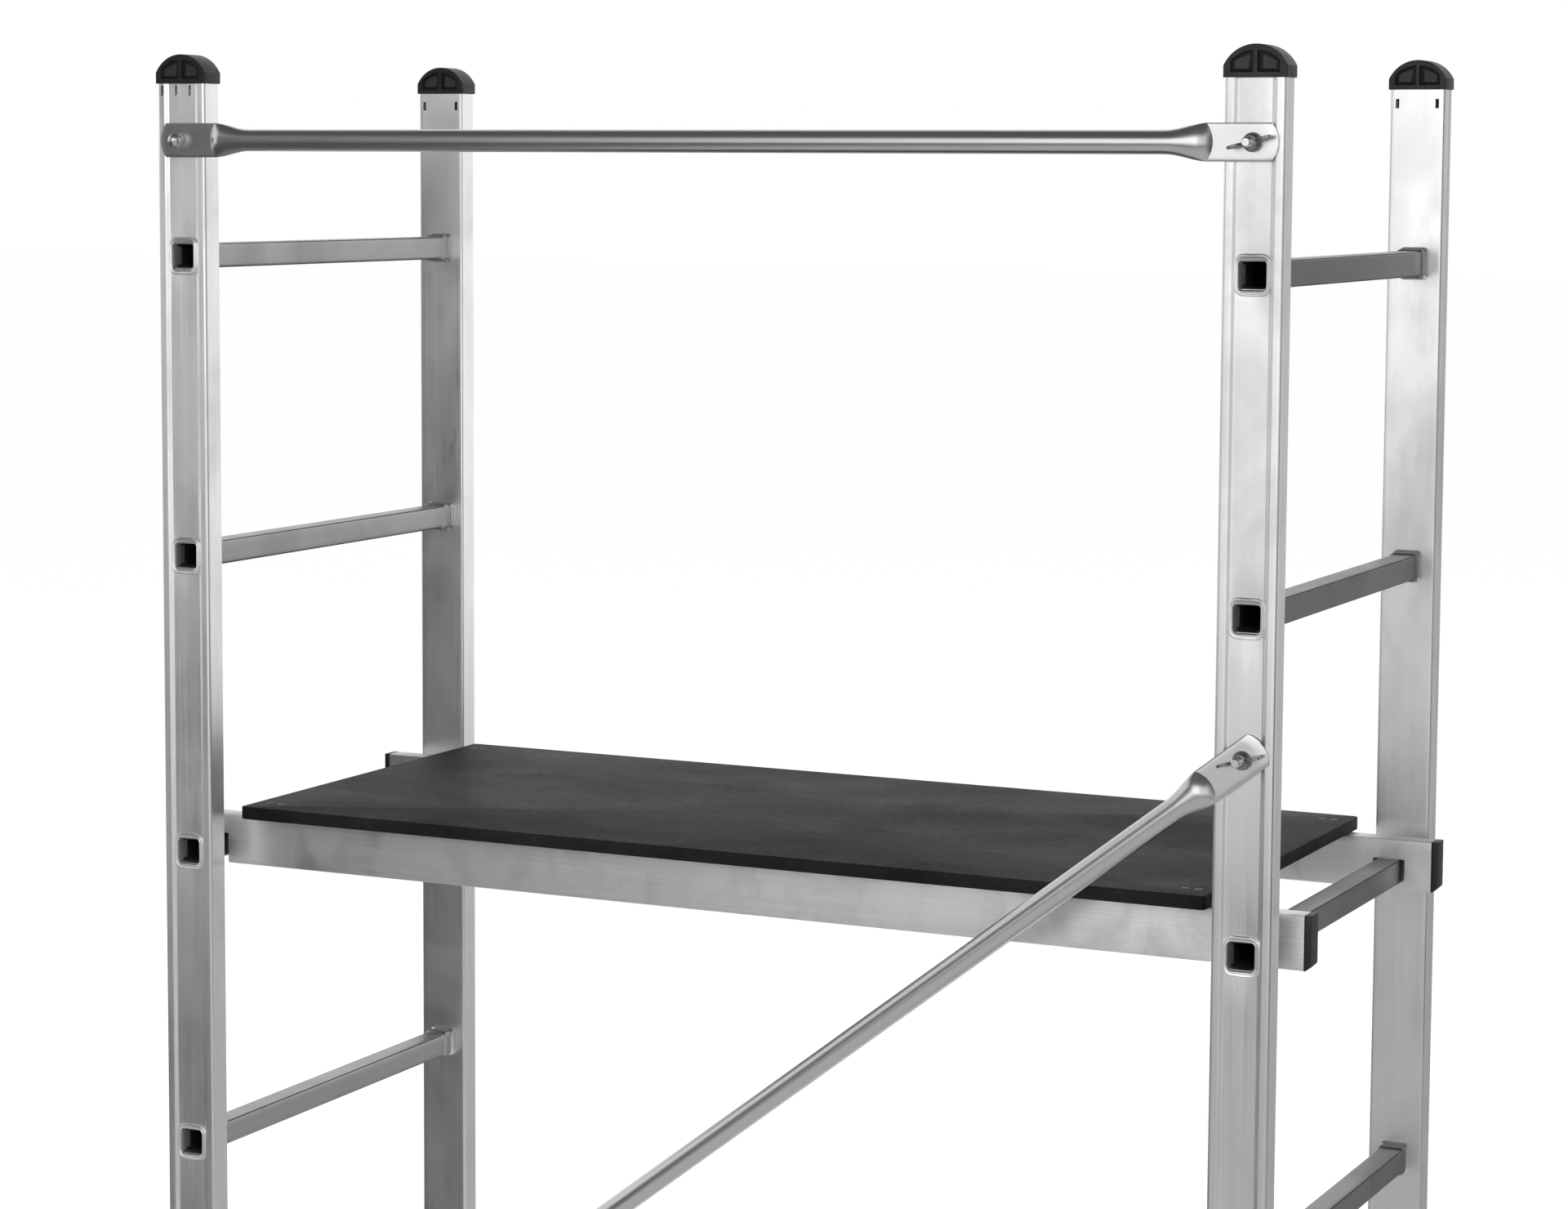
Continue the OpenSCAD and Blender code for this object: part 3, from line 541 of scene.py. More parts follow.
def build(name, parts, finish, body, node, sharp=35.0, wall=None, others=(), pick=None):
    """Makes the piece that stands for a node from closed skins or sheets in mm, and rides it on its body.

    With other finishes, pick gives each face the number of its own from its middle in mm."""
    corners, polygons, start = [], [], 0
    for points, faces in parts:
        corners.append(points)
        polygons += [quad for f in faces for quad in (f + start).tolist()]
        start += len(points)
    mesh = bpy.data.meshes.new(name)
    mesh.from_pydata((np.concatenate(corners) * MM).tolist(), [], polygons)
    for each in (finish, *others):
        mesh.materials.append(FINISH[each])
    if others:
        middles = np.empty(len(mesh.polygons) * 3)
        mesh.polygons.foreach_get("center", middles)
        mesh.polygons.foreach_set("material_index", pick(middles.reshape(-1, 3) / MM).astype(np.int32))
    mesh.shade_smooth()
    mesh.set_sharp_from_angle(angle=math.radians(sharp))
    keep_rims_sharp(mesh)
    piece = bpy.data.objects.new(name, mesh)
    bpy.context.scene.collection.objects.link(piece)
    if wall:
        solid = piece.modifiers.new("wall", "SOLIDIFY")
        solid.thickness, solid.offset, solid.use_even_offset = wall * MM, -1.0, True
    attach(piece, body)
    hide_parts(node)


def moved(points, place, half_turn=False):
    """Points turned half round Z if asked, then moved."""
    return points * ((-1, -1, 1) if half_turn else (1, 1, 1)) + np.asarray(place, float)


# ---------------------------------------------------------------- ladders

STILE_HALF = 26.0
STILE_DEEP = 24.0
STILE_WALL = 1.6
WEB_SUNK = 2.0
RUNG_HALF = 11.5
HOLE_HALF = 11.6
SLOT_ACROSS, SLOT_BELOW = (17.0, 20.4), (8.5, 17.0)
NICKS_ACROSS, NICK_BELOW = ((19.4, 21.8), (5.4, 7.6), (-9.8, -7.6)), (1.6, 11.0)
rung_heights = [node_centre("rung_left_%d" % i).z / MM for i in range(1, 7)]
ladder_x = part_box("stile_right_front")[1].x / MM - STILE_HALF
inner_y = -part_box("stile_right_front")[1].y / MM


def stile_profile():
    """(x, y) points round the stile: y = 0 on the inner face, 24 on the outer flanges, 22 on the sunk web.

    The web's edge is a smooth step from x = 14.2 to x = 18.6. Corners are quarter circles of 2.6."""
    r = 2.6
    bend = np.linspace(0, np.pi / 2, 7)
    inner = np.array([-23.4, -20.4, -17.0, -14, -HOLE_HALF, -6, 0, 6, HOLE_HALF, 14, 17.0, 20.4, 23.4])
    inner = np.stack([inner, 0 * inner], 1)
    low = np.stack([STILE_HALF - r + r * np.sin(bend), r - r * np.cos(bend)], 1)[1:]
    rise = np.linspace(r, STILE_DEEP - r, 7)[1:]
    step = 0.35 * smooth_step((rise - 17.2) / 1.2)
    side = np.stack([np.full(6, STILE_HALF) - 0.35 + step, rise], 1)
    low[:, 0] -= 0.35 * np.linspace(0, 1, 6)
    high = np.stack([STILE_HALF - r + r * np.cos(bend), STILE_DEEP - r + r * np.sin(bend)], 1)[1:]
    across = np.array([21.8, 19.4, 18.7, 18.1, 17.5, 16.9, 16.4, 15.9, 15.4, 14.9, 14.4, 13.9, 13.2,
                       HOLE_HALF, 9.8, 7.6, 5.4, 2.8, 0.0])
    drop = STILE_DEEP - WEB_SUNK * smooth_step((18.6 - across) / 4.4)
    outer = np.stack([across, drop], 1)
    half = np.concatenate([inner[inner[:, 0] > 0], low, side, high, outer])
    mirror = half[::-1].copy()
    mirror[:, 0] *= -1
    middle = inner[inner[:, 0] == 0]
    return np.concatenate([middle, half, mirror[1:]])


def height_levels(low, high, fine, step=14.0):
    """Heights from low to high every step, with the wanted ones added and near neighbours dropped."""
    wanted = np.array(sorted(fine))
    even = np.linspace(low, high, int((high - low) / step) + 1)
    apart = np.abs(even[:, None] - wanted[None, :]).min(1) > 2.2
    apart[[0, -1]] = True
    return np.unique(np.concatenate([even[apart], wanted]))


def between(value, ends):
    """Where a value lies between two ends."""
    return (value > ends[0]) & (value < ends[1])


def stile_sheet(low, high, holes, nicked):
    """Skin of a stile with square rung holes, in stile coordinates.

    Two slots are punched through the inner face under the cap, and, if nicked, three nicks through the outer
    face. Near a rung each web point is pushed in by 0.9 exp(-(dz/26)^2) (1 - (x/15)^2), as the rung dents it.
    """
    profile = stile_profile()
    around = len(profile)
    marks = [z + s * d for z in holes for d in (5, HOLE_HALF, 18, 24, 32, 45, 60) for s in (-1, 1)]
    marks += [high - below for below in (*SLOT_BELOW, *NICK_BELOW)]
    levels = height_levels(low, high, [m for m in marks if low + 3 < m < high - 1])
    x = np.broadcast_to(profile[:, 0], (len(levels), around))
    y = np.broadcast_to(profile[:, 1], (len(levels), around)).copy()
    z = np.broadcast_to(levels[:, None], (len(levels), around))
    near = np.abs(levels[:, None] - np.array(holes)[None, :]).min(1)[:, None]
    dent = np.exp(-(near / 26.0) ** 2) * np.clip(1 - (x / 15.0) ** 2, 0, 1)
    y = np.where(y > 20, y - 0.9 * dent, np.where(y < 0.5, y + 0.5 * dent, y))
    points = np.stack([x, y, z], -1).reshape(-1, 3)
    quads = grid_quads(len(levels), around)
    middle = (levels[:-1] + levels[1:]) / 2
    in_rows = (np.abs(middle[:, None] - np.array(holes)[None, :]) < HOLE_HALF).any(1)
    px = (profile[:, 0] + np.roll(profile[:, 0], -1)) / 2
    py = (profile[:, 1] + np.roll(profile[:, 1], -1)) / 2
    in_cols = (np.abs(px) < HOLE_HALF) & ((py < 1) | (py > 20))
    cut = in_rows[:, None] & in_cols[None, :]
    below = high - middle
    cut |= between(below, SLOT_BELOW)[:, None] & (between(np.abs(px), SLOT_ACROSS) & (py < 1))[None, :]
    for edges in NICKS_ACROSS if nicked else ():
        cut |= between(below, NICK_BELOW)[:, None] & (between(px, edges) & (py > 20))[None, :]
    return points, outward(points, [quads[~cut]])


def rung_skin(height):
    """A rung as one closed skin: lip, swaged collars, square tube and the bore through it.

    Rows give (y, half size in x, half size in z, corner radius) from the middle out and back inside."""
    tube = [(y, 11.5, 11.5, 3) for y in (0, 120, 198)]
    collar = [
        (202, 11.5, 11.55, 3), (203.6, 11.6, 11.7, 3.1), (204.6, 12.2, 12.5, 3.4), (206, 12.6, 13.1, 3.7),
        (209, 12.7, 13.3, 3.9), (213, 12.6, 13.2, 3.9), (215.4, 12.3, 12.7, 3.7), (216, 12.1, 12.4, 3.6),
        (216.8, 12.6, 13.1, 4.2), (217.8, 13.5, 14.2, 4.8), (218.8, 14, 14.8, 5.2), (220, 14, 14.8, 5.2),
        (220.7, 13.6, 14.3, 4.9)]
    in_stile = [(y, 11.5, 11.5, 3) for y in (220.9, 232, 242.2)]
    lip = [
        (242.4, 15, 16.9, 7.2), (242.9, 15.4, 17.3, 7.5), (243.6, 15.4, 17.3, 7.5), (244.2, 15.1, 17, 7.3),
        (244.55, 14.6, 16.4, 7), (244.5, 14.1, 15.8, 6.6), (244.15, 13.7, 15.2, 6.2),
        (244.1, 13.4, 14.7, 5.8), (244.5, 13.1, 14.2, 5.4), (244.75, 12.7, 13.6, 5), (244.6, 12.3, 13, 4.5),
        (244, 11.9, 12.4, 4), (243, 11.6, 12, 3.6), (241, 11.2, 11.5, 3.2), (237, 10.8, 10.9, 2.6),
        (231, 10.4, 10.4, 2)]
    bore = [(y, 10.2, 10.2, 1.8) for y in (222, 120, 0)]
    half = np.array(tube + collar + in_stile + lip + bore, float)
    back = half[1:-1][::-1] * np.array([-1, 1, 1, 1])
    rows = np.concatenate([half, back])
    ring = rounded_rect(rows[:, 1], rows[:, 2], rows[:, 3], 5, 4)
    y = np.broadcast_to(rows[:, 0][:, None], ring.shape[:2])
    rings = np.stack([ring[..., 0], y, ring[..., 1] + height], -1)
    return hoop(rings)


def cap_skin():
    """An arched end cap: an outline z = top(x) carried across the stile, with its edges rounded.

    top(x) is a circle through both shoulders and the crown. Each face has two sunk windows with a raised
    pane, parted by a rib, made by smooth steps in x and z."""
    half, shoulder, crown = 27.2, 9.5, 26.9
    rise = crown - shoulder
    arch = (half ** 2 + rise ** 2) / (2 * rise)
    cols, rows = 93, 45

    def sheet(shrink, y):
        x = np.linspace(-1, 1, cols) * (half - shrink)
        top = crown - arch + np.sqrt(arch ** 2 - x ** 2) - shrink
        z = np.linspace(0, 1, rows)[:, None] * top[None, :]
        return np.stack([np.broadcast_to(x, z.shape), np.full(z.shape, y), z], -1)

    def windowed(y, sign):
        face = sheet(1.0, y)
        wide, z = np.abs(face[..., 0]), face[..., 2]
        limit = z[-1:] - 4.0
        window = smooth_step((z - 4.2) / 0.9) * smooth_step((limit - z) / 0.9)
        window *= smooth_step((wide - 2.0) / 0.7) * smooth_step((21.0 - wide) / 0.7)
        pane = smooth_step((z - 6.0) / 0.7) * smooth_step((limit - 1.8 - z) / 0.7)
        pane *= smooth_step((wide - 5.2) / 0.7) * smooth_step((18.4 - wide) / 0.7)
        lean = 0.5 + 0.11 * np.clip(z - 6, 0, 12)
        face[..., 1] -= sign * (2.2 * window - (2.0 - lean) * pane)
        return face.reshape(-1, 3)

    low, high = -1.2, STILE_DEEP + 1.2
    edge = np.concatenate([
        np.stack([np.zeros(cols, int), np.arange(cols)], 1),
        np.stack([np.arange(1, rows), np.full(rows - 1, cols - 1)], 1),
        np.stack([np.full(cols - 1, rows - 1), np.arange(cols - 2, -1, -1)], 1),
        np.stack([np.arange(rows - 2, 0, -1), np.zeros(rows - 2, int)], 1)])
    band = [sheet(shrink, y)[edge[:, 0], edge[:, 1]] for shrink, y in soft_edges(1.0, low, high, 5)[1:-1]]
    points = np.concatenate([windowed(low, -1), *band, windowed(high, 1)])
    rim, count, size = edge[:, 0] * cols + edge[:, 1], len(edge), rows * cols
    front = size + len(band) * count
    levels = [rim] + [size + k * count + np.arange(count) for k in range(len(band))] + [front + rim]
    sides = [np.stack([a, np.roll(a, -1), np.roll(b, -1), b], 1) for a, b in zip(levels[:-1], levels[1:])]
    flat = grid_quads(rows, cols, False, False).reshape(-1, 4)
    return points, outward(points, [np.concatenate([flat[:, ::-1], *sides, flat + front])])


def make_ladders():
    """Stiles, rungs and caps of both ladders."""
    low, top = (corner.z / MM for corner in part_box("stile_left_front"))
    plain, nicked = (stile_sheet(low, top, rung_heights, marked) for marked in (False, True))
    cap, cap_faces = cap_skin()
    for side, sx in SIDES.items():
        for face, sy in FACES.items():
            tag = side + "_" + face
            place = (sx * ladder_x, sy * inner_y, 0)
            sheet, faces = nicked if tag == "left_front" else plain
            spot = moved(sheet, place, face == "front")
            build("stile_skin_" + tag, [(spot, faces)], "stile", "frame", "stile_" + tag, 28.0, STILE_WALL)
            spot = moved(cap, (place[0], place[1], top + 0.1), face == "front")

            def window_parts(middles):
                """1 on a window's floor and walls, which carry painted shade, 2 on its pane, which carries a
                painted highlight, 0 elsewhere.
                """
                x, y, z = (middles - (spot.max(0) + spot.min(0)) / 2).T
                z = z + np.ptp(spot[:, 2]) / 2
                sunk = np.ptp(spot[:, 1]) / 2 - np.abs(y)
                arch = 24.5 - (x / 11.2) ** 2 * 2.2
                pane_mask_painted_highlight = (np.abs(x) > 5.0) & (np.abs(x) < 18.6) & (z > 6.2) & (z < arch - 6.0) & (sunk < 2.1)
                sunk_painted_shade = (z > 4.4) & (z < arch - 3.0) & (sunk > 0.3) & (np.abs(x) < 21) & (sunk < 2.6)
                return np.where(sunk_painted_shade & pane_mask_painted_highlight, 2, sunk_painted_shade)

            # Sunk windows take the painted shade copy, their panes the painted highlight copy
            build("cap_shell_" + tag, [(spot, cap_faces)], "cap", "frame", "cap_" + tag, 40.0,
                  others=("cap_shaded_window", "cap_highlit_pane"), pick=window_parts)
        for i, z in enumerate(rung_heights, 1):
            points, rung_faces = rung_skin(z)
            axis = np.array([sx * ladder_x, 0, z])

            def painted_shade_bore_or_end(middles):
                """2 inside the bore, which is painted near black as shade, 1 on the swaged ends, 0 elsewhere.
                """
                across = np.abs(middles - axis)[:, [0, 2]].max(1)
                return np.where(across < 10.6, 2, np.abs(middles[:, 1]) > 215.6)

            tag = "%s_%d" % (side, i)
            # The right ladder's rungs get the darker rung copy, a painted shade
            build("rung_tube_" + tag, [(points + axis * (1, 1, 0), rung_faces)], "rung_" + side, "frame",
                  "rung_" + tag, others=("stile", "bore"), pick=painted_shade_bore_or_end)


# ---------------------------------------------------------------- guardrail and brace

TUBE_R = 10.0
FLAT_HALF = 1.5
FLAT_HIGH = 15.7
TIP_PAST = 21.0
WASHER_R = 8.5
BOLT_R = 4.0
BOLT_AF = 13.0
NUT_TURN = math.radians(15)


def pressed_tube(span):
    """A round tube whose ends are pressed flat, along x, bolts at x = -span / 2 and span / 2.

    A point is (x, -T, H cos a) with T the half thickness: R sin a on the tube and a flat plate at the ends.
    The change ends on a curved crease x = x_0 + 5.4 (1 - v^2), v = cos a, and the rows bend with it."""
    around = 64
    angle = np.linspace(0, 2 * np.pi, around, endpoint=False)
    v, lift = np.cos(angle), np.sin(angle)
    crease = span / 2 - 39.5
    back = np.array([-78, -66, -56, -48, -42, -37, -32, -28, -24, -21, -18, -15.5, -13, -11, -9, -7.2, -5.6,
                     -4.2, -3, -2, -1.1, -0.4, 0, 0.5, 2, 5])
    middle = np.linspace(0, crease - 96, 14)
    along = np.concatenate([middle, crease + back])
    gap = along - crease
    bow = 5.4 * (1 - v ** 2)[None, :] * smooth_step((gap + 55) / 50)[:, None]
    x = along[:, None] + bow

    swell = smooth_step((gap + 36) / 37.0)
    high = TUBE_R + (FLAT_HIGH - TUBE_R) * swell
    deep = TUBE_R - 1.2 * swell
    t = np.clip(-gap / 14.0, 0, 1)
    roundness = 1 - (1 - t) ** 2.1
    thick_flat = FLAT_HALF * (1 - np.abs(v) ** 10) ** 0.2
    thick_round = deep[:, None] * np.abs(lift)[None, :]
    thick = np.maximum(thick_flat[None, :] + (thick_round - thick_flat[None, :]) * roundness[:, None],
                       thick_flat[None, :] * (1 - roundness)[:, None])
    body = np.stack([x, -np.sign(np.round(lift, 6))[None, :] * thick, high[:, None] * v[None, :]], -1)

    tips = np.linspace(0, 1, 11)[1:]
    tip_r = 24.0
    z_tip = FLAT_HIGH * v
    end = span / 2 + TIP_PAST - (tip_r - np.sqrt(tip_r ** 2 - z_tip ** 2))
    x_tip = x[-1][None, :] + (end - x[-1])[None, :] * tips[:, None]
    close = np.sqrt(1 - np.clip((tips - 0.97) / 0.0301, 0, 1) ** 2 * 0.6)
    blunt = np.stack([x_tip, -np.sign(np.round(lift, 6))[None, :] * thick_flat[None, :] * close[:, None],
                      np.broadcast_to(z_tip, x_tip.shape)], -1)
    right = np.concatenate([body, blunt])
    left = right[1:][::-1] * np.array([-1, 1, 1])
    rings = np.concatenate([left, right])
    stations = len(rings)
    points = rings.reshape(-1, 3)
    j = np.arange(around // 2)
    strip = np.stack([j, j + 1, (around - j - 1) % around, (around - j) % around], 1)
    last = (stations - 1) * around
    faces = [grid_quads(stations, around).reshape(-1, 4), strip[1:-1, ::-1], strip[1:-1] + last]
    for base, flip in ((0, True), (last, False)):
        ends = np.array([[0, 1, around - 1], [around // 2 - 1, around // 2, around // 2 + 1]]) + base
        faces.append(ends[:, ::-1] if flip else ends)
    return points, outward(points, faces)


def clear_of_stiles(points, seat_y):
    """Keeps the back of a tube in front of the stiles: y stays below the seat, plus 1.2 d past a stile."""
    beyond = np.clip(ladder_x - STILE_HALF - 0.6 - np.abs(points[:, 0]), 0, None)
    points[:, 1] = np.minimum(points[:, 1], seat_y + 1.2 * beyond)
    return points


def wing_nut_skins():
    """Hub and two wings in nut coordinates, z away from the seat.

    The hub is a closed turned ring. A wing is a blade along a rising curve, with half width w(s) and half
    thickness t(s)."""
    hub = hoop(turned([(4.05, 0), (7.6, 0), (8, 0.5), (8, 1.4), (7.2, 3.5), (6.5, 6.2), (6.1, 7.5), (5.5, 8),
                       (4.6, 8), (4.05, 7.4)], 48))
    s = np.linspace(0, 1, 22)
    reach = 4.6 + 13.6 * s
    rise = 4.0 + 2.2 * s + 6.0 * s ** 2.4
    slope_x, slope_z = np.gradient(reach), np.gradient(rise)
    size = np.hypot(slope_x, slope_z)
    bulge = np.sin(np.pi * s ** 1.15)
    width = (3.4 + 2.6 * bulge) * np.sqrt(np.clip(1 - np.clip((s - 0.72) / 0.2801, 0, 1) ** 2, 0, 1)) + 0.05
    thick = 1.55 - 0.35 * s
    ring = rounded_rect(width, thick, np.minimum(thick, width) * 0.85, 4, 3)
    x = reach[:, None] - (slope_z / size)[:, None] * ring[..., 0]
    z = rise[:, None] + (slope_x / size)[:, None] * ring[..., 0]
    blade = np.stack([x, ring[..., 1], z], -1)
    return [hub, loft(blade), loft(blade * (-1, -1, 1))]


def make_rails():
    """Guardrail, brace, their bolts and nuts."""
    face_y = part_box("stile_left_front")[0].y / MM
    guard_z = node_centre("guardrail").z / MM
    high_z = node_centre("brace_washer").z / MM
    low_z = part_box("fixed_washers")[0].z / MM + WASHER_R
    for name, node, left_z, right_z in (("guardrail", "guardrail", guard_z, guard_z),
                                        ("brace", "diagonal_brace", low_z, high_z)):
        span, rise = 2 * ladder_x, right_z - left_z
        lean = math.atan2(rise, span)
        c, s = math.cos(lean), math.sin(lean)
        (points, faces), = laid([pressed_tube(math.hypot(span, rise))], [(c, 0, s), (0, 1, 0), (-s, 0, c)],
                                (0, face_y - FLAT_HALF, (left_z + right_z) / 2))
        build(name + "_tube", [(clear_of_stiles(points, face_y), faces)], name, "frame", node, 24.0)

    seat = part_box("guardrail_washer")[0].y / MM
    c, s = math.cos(NUT_TURN), math.sin(NUT_TURN)
    for which, z in (("guardrail", guard_z), ("brace", high_z)):
        nut = laid(wing_nut_skins(), [(c, 0, s), (-s, 0, c), (0, -1, 0)], (ladder_x, seat, z))
        build(which + "_wing_nut_cast", nut, "wing", which + "_wing_nut", which + "_wing_nut", 40.0)

    outwards = [(1, 0, 0), (0, 0, 1), (0, -1, 0)]
    inner_face = face_y + STILE_DEEP
    dome = [(6.2 * math.sin(a), 6.3 + 5.6 * math.cos(a)) for a in np.linspace(1.57, 0.1, 10)]
    dome = loft(turned([(0.01, 6.0), (6.2, 6.0), *dome, (0.01, 11.9)], 40))
    bolts, domes = [], []
    for x, z, reach in ((-ladder_x, guard_z, 6.0), (-ladder_x, low_z, 6.0),
                        (ladder_x, guard_z, 18.0), (ladder_x, high_z, 18.0)):
        shank = thread(BOLT_R, -1.0, inner_face - seat + reach)
        bolts += laid([hex_block(BOLT_AF, -5.3, -0.1), shank], outwards, (x, inner_face, z))
        if x < 0:
            domes += laid([hex_block(BOLT_AF, 0.0, 6.5), dome], outwards, (x, seat, z))
    build("rail_bolts_threaded", bolts, "zinc", "frame", "rail_bolts")
    build("cap_nuts_domed", domes, "zinc", "frame", "cap_nuts")


# ---------------------------------------------------------------- platform

RAIL_WALL = 1.8
PLUG_T = 6.0
RIVET_X = (452, 464, -452, -464)
RIVET_Y = 190


def board_skin(low, high, corner=4.0, edge=0.9):
    """A board: rounded rectangles stacked in z, drawn in by a quarter circle at the top and bottom edges."""
    drawn, level = soft_edges(edge, low[2], high[2]).T
    half, middle = (high - low) / 2, (high + low) / 2
    ring = rounded_rect(half[0] - drawn, half[1] - drawn, corner, 5, 12)
    z = np.broadcast_to(level[:, None], ring.shape[:2])
    return loft(np.stack([ring[..., 0] + middle[0], ring[..., 1] + middle[1], z], -1))


def rail_sheet(low, high, notches, notch_top, corner=1.6):
    """Skin of a box rail along x, with notches cut up from its underside."""
    half_y, half_z = (high[1] - low[1]) / 2, (high[2] - low[2]) / 2
    mid_y, mid_z = (high[1] + low[1]) / 2, (high[2] + low[2]) / 2
    cut = notch_top - mid_z
    bend = np.linspace(0, np.pi / 2, 4)
    arc = np.stack([half_y - corner + corner * np.cos(bend), half_z - corner + corner * np.sin(bend)], 1)
    runs = np.array([-half_z + corner, -half_z / 2, cut, half_z * 0.4, half_z * 0.7])
    right = np.stack([np.full(5, half_y), runs], 1)
    top = [(half_y * 0.4, half_z), (-half_y * 0.4, half_z)]
    upper = np.concatenate([right, arc, top, arc[::-1] * (-1, 1), right[::-1] * (-1, 1)])
    profile = np.concatenate([upper, arc[1:] * (-1, -1), [(0, -half_z)], arc[:0:-1] * (1, -1)])
    marks = [n + d for n in notches for d in (-15, 15)]
    levels = height_levels(low[0], high[0], marks, 20.0)
    around = len(profile)
    x = np.broadcast_to(levels[:, None], (len(levels), around))
    y = np.broadcast_to(profile[:, 0] + mid_y, (len(levels), around))
    z = np.broadcast_to(profile[:, 1] + mid_z, (len(levels), around))
    points = np.stack([x, y, z], -1).reshape(-1, 3)
    middle = (levels[:-1] + levels[1:]) / 2
    in_rows = (np.abs(middle[:, None] - np.array(notches)[None, :]) < 15).any(1)
    mean_z = (profile[:, 1] + np.roll(profile[:, 1], -1)) / 2
    keep = ~(in_rows[:, None] & (mean_z < cut)[None, :])
    return points, outward(points, [grid_quads(len(levels), around)[keep]])


def make_platform():
    """Board, hooked rails, their plugs, cross tubes and rivets."""
    low, high = box_mm("platform_board")
    board_top = high[2]
    build("board_panel", [board_skin(low, high)], "board", "platform", "platform_board", 30.0)
    plugs = []
    plug_end = box_mm("platform_rail_plugs")[1][0]
    for face in FACES:
        node = "platform_rail_" + face
        low, high = box_mm(node)
        sheet = rail_sheet(low, high, [-ladder_x, ladder_x], rung_heights[3] + RUNG_HALF)
        build("platform_channel_" + face, [sheet], "deck_rail", "platform", node, 30.0, RAIL_WALL)
        tall = high[2] - low[2]
        outline = [(0.05, 0), (1.2, 0), (PLUG_T, 4.8), (PLUG_T, tall), (0.05, tall)]
        stub = [(-13, 2.2), (0.2, 2.2), (0.2, tall - 2.2), (-13, tall - 2.2)]
        for sx in SIDES.values():
            plugs += laid([slab(outline, -10, 10, 0.9), slab(stub, -7.8, 7.8, 0.4)],
                          [(sx, 0, 0), (0, 0, 1), (0, 1, 0)],
                          (sx * (plug_end - PLUG_T), (low[1] + high[1]) / 2, low[2]))
    build("platform_plugs_moulded", plugs, "cap", "platform", "platform_rail_plugs")

    low, high = box_mm("platform_cross_members")
    tubes = []
    for sx in SIDES.values():
        tubes += laid([box_tube(15, 10, 1.8, 2.0, low[1], high[1])], ALONG_Y,
                      (sx * (high[0] - 15), 0, (low[2] + high[2]) / 2))
    build("platform_cross_tubes", tubes, "deck_rail", "platform", "platform_cross_members", 30.0)

    foot = box_mm("platform_rivets")[0][2] - board_top
    head = [(0.01, 0.35), (0.9, 0.3), (1.05, 0.1), (1.5, 0.1), (1.9, 0.4), (2.8, 0.3), (3.4, 0.05),
            (3.5, -0.1), (3.3, -0.3), (2.4, -1.5), (2.4, foot), (0.01, foot)]
    rivets = [skin for x in RIVET_X for y in (RIVET_Y, -RIVET_Y)
              for skin in laid([loft(turned(head, 28))], AS_DRAWN, (x, y, board_top))]
    build("platform_rivet_heads", rivets, "rivet", "platform", "platform_rivets", 40.0)


# ---------------------------------------------------------------- base and castors

CASTOR_TRAIL = 38.0
WHEEL_R = 62.5
FORK_INNER = 21.0
FORK_OUTER = 24.0
FORK_BACK = -26.0
FORK_FRONT = 44.0
FORK_FOLD = 128.0
FORK_TOP = 142.0
PIVOT = (76.0, 124.0)
BRAKE_TILT = math.radians(15)
CASTOR_Y = 395.0
BEAM_TOP = 192.0
FOOT_BOLT_Z = 237.0


def make_beams():
    """Base beams with welded foot sockets, their plugs and the bolts through the feet."""
    plugs, bolts = [], []
    for side, sx in SIDES.items():
        low, high = box_mm("base_beam_" + side)
        half_z, half_y = (BEAM_TOP - low[2]) / 2, high[1]
        x, z = sx * ladder_x, (BEAM_TOP + low[2]) / 2
        skins = laid([box_tube(30, half_z, 2.5, 3.0, -half_y, half_y)], ALONG_Y, (x, 0, z))
        end = slab(rounded_rect(30, half_z, 2.5, 5, 6)[0], 0.1, 4, 0.9)
        core = slab(rounded_rect(27, half_z - 3, 1.5, 3, 3)[0], -15, 0.3, 0.4)
        for sy in FACES.values():
            foot_y, outwards = sy * (inner_y + STILE_DEEP / 2), [(1, 0, 0), (0, 0, 1), (0, sy, 0)]
            skins += laid([box_tube(29.3, 15.3, 2.9, 2.2, BEAM_TOP + 0.2, high[2]),
                           weld_bead(29.6, 15.6, 3.0, BEAM_TOP + 0.6, 2.0, 74)], AS_DRAWN, (x, foot_y, 0))
            plugs += laid([end, core], outwards, (x, sy * half_y, z))
            bolts += laid([hex_block(BOLT_AF, 15.4, 20.6), hex_block(BOLT_AF, -21.8, -15.4),
                           thread(BOLT_R, -24.8, 16.0)], outwards, (x, foot_y, FOOT_BOLT_Z))
        build("beam_tube_" + side, skins, "beam", "frame", "base_beam_" + side, 30.0)
    build("beam_plugs_moulded", plugs, "cap", "frame", "base_beam_plugs")
    build("foot_bolts_threaded", bolts, "zinc", "frame", "foot_bolts")


def cheek_outline():
    """Side of a fork cheek, (along the trail, height): a rounded eye at the axle and an ear at the pivot."""
    return np.concatenate([[(FORK_BACK, FORK_FOLD)], arc_points((CASTOR_TRAIL, WHEEL_R), 14, 205, 335, 13),
                           arc_points(PIVOT, 8, -25, 65),
                           [(FORK_FRONT, FORK_TOP - 4), (FORK_BACK, FORK_TOP - 4)]])


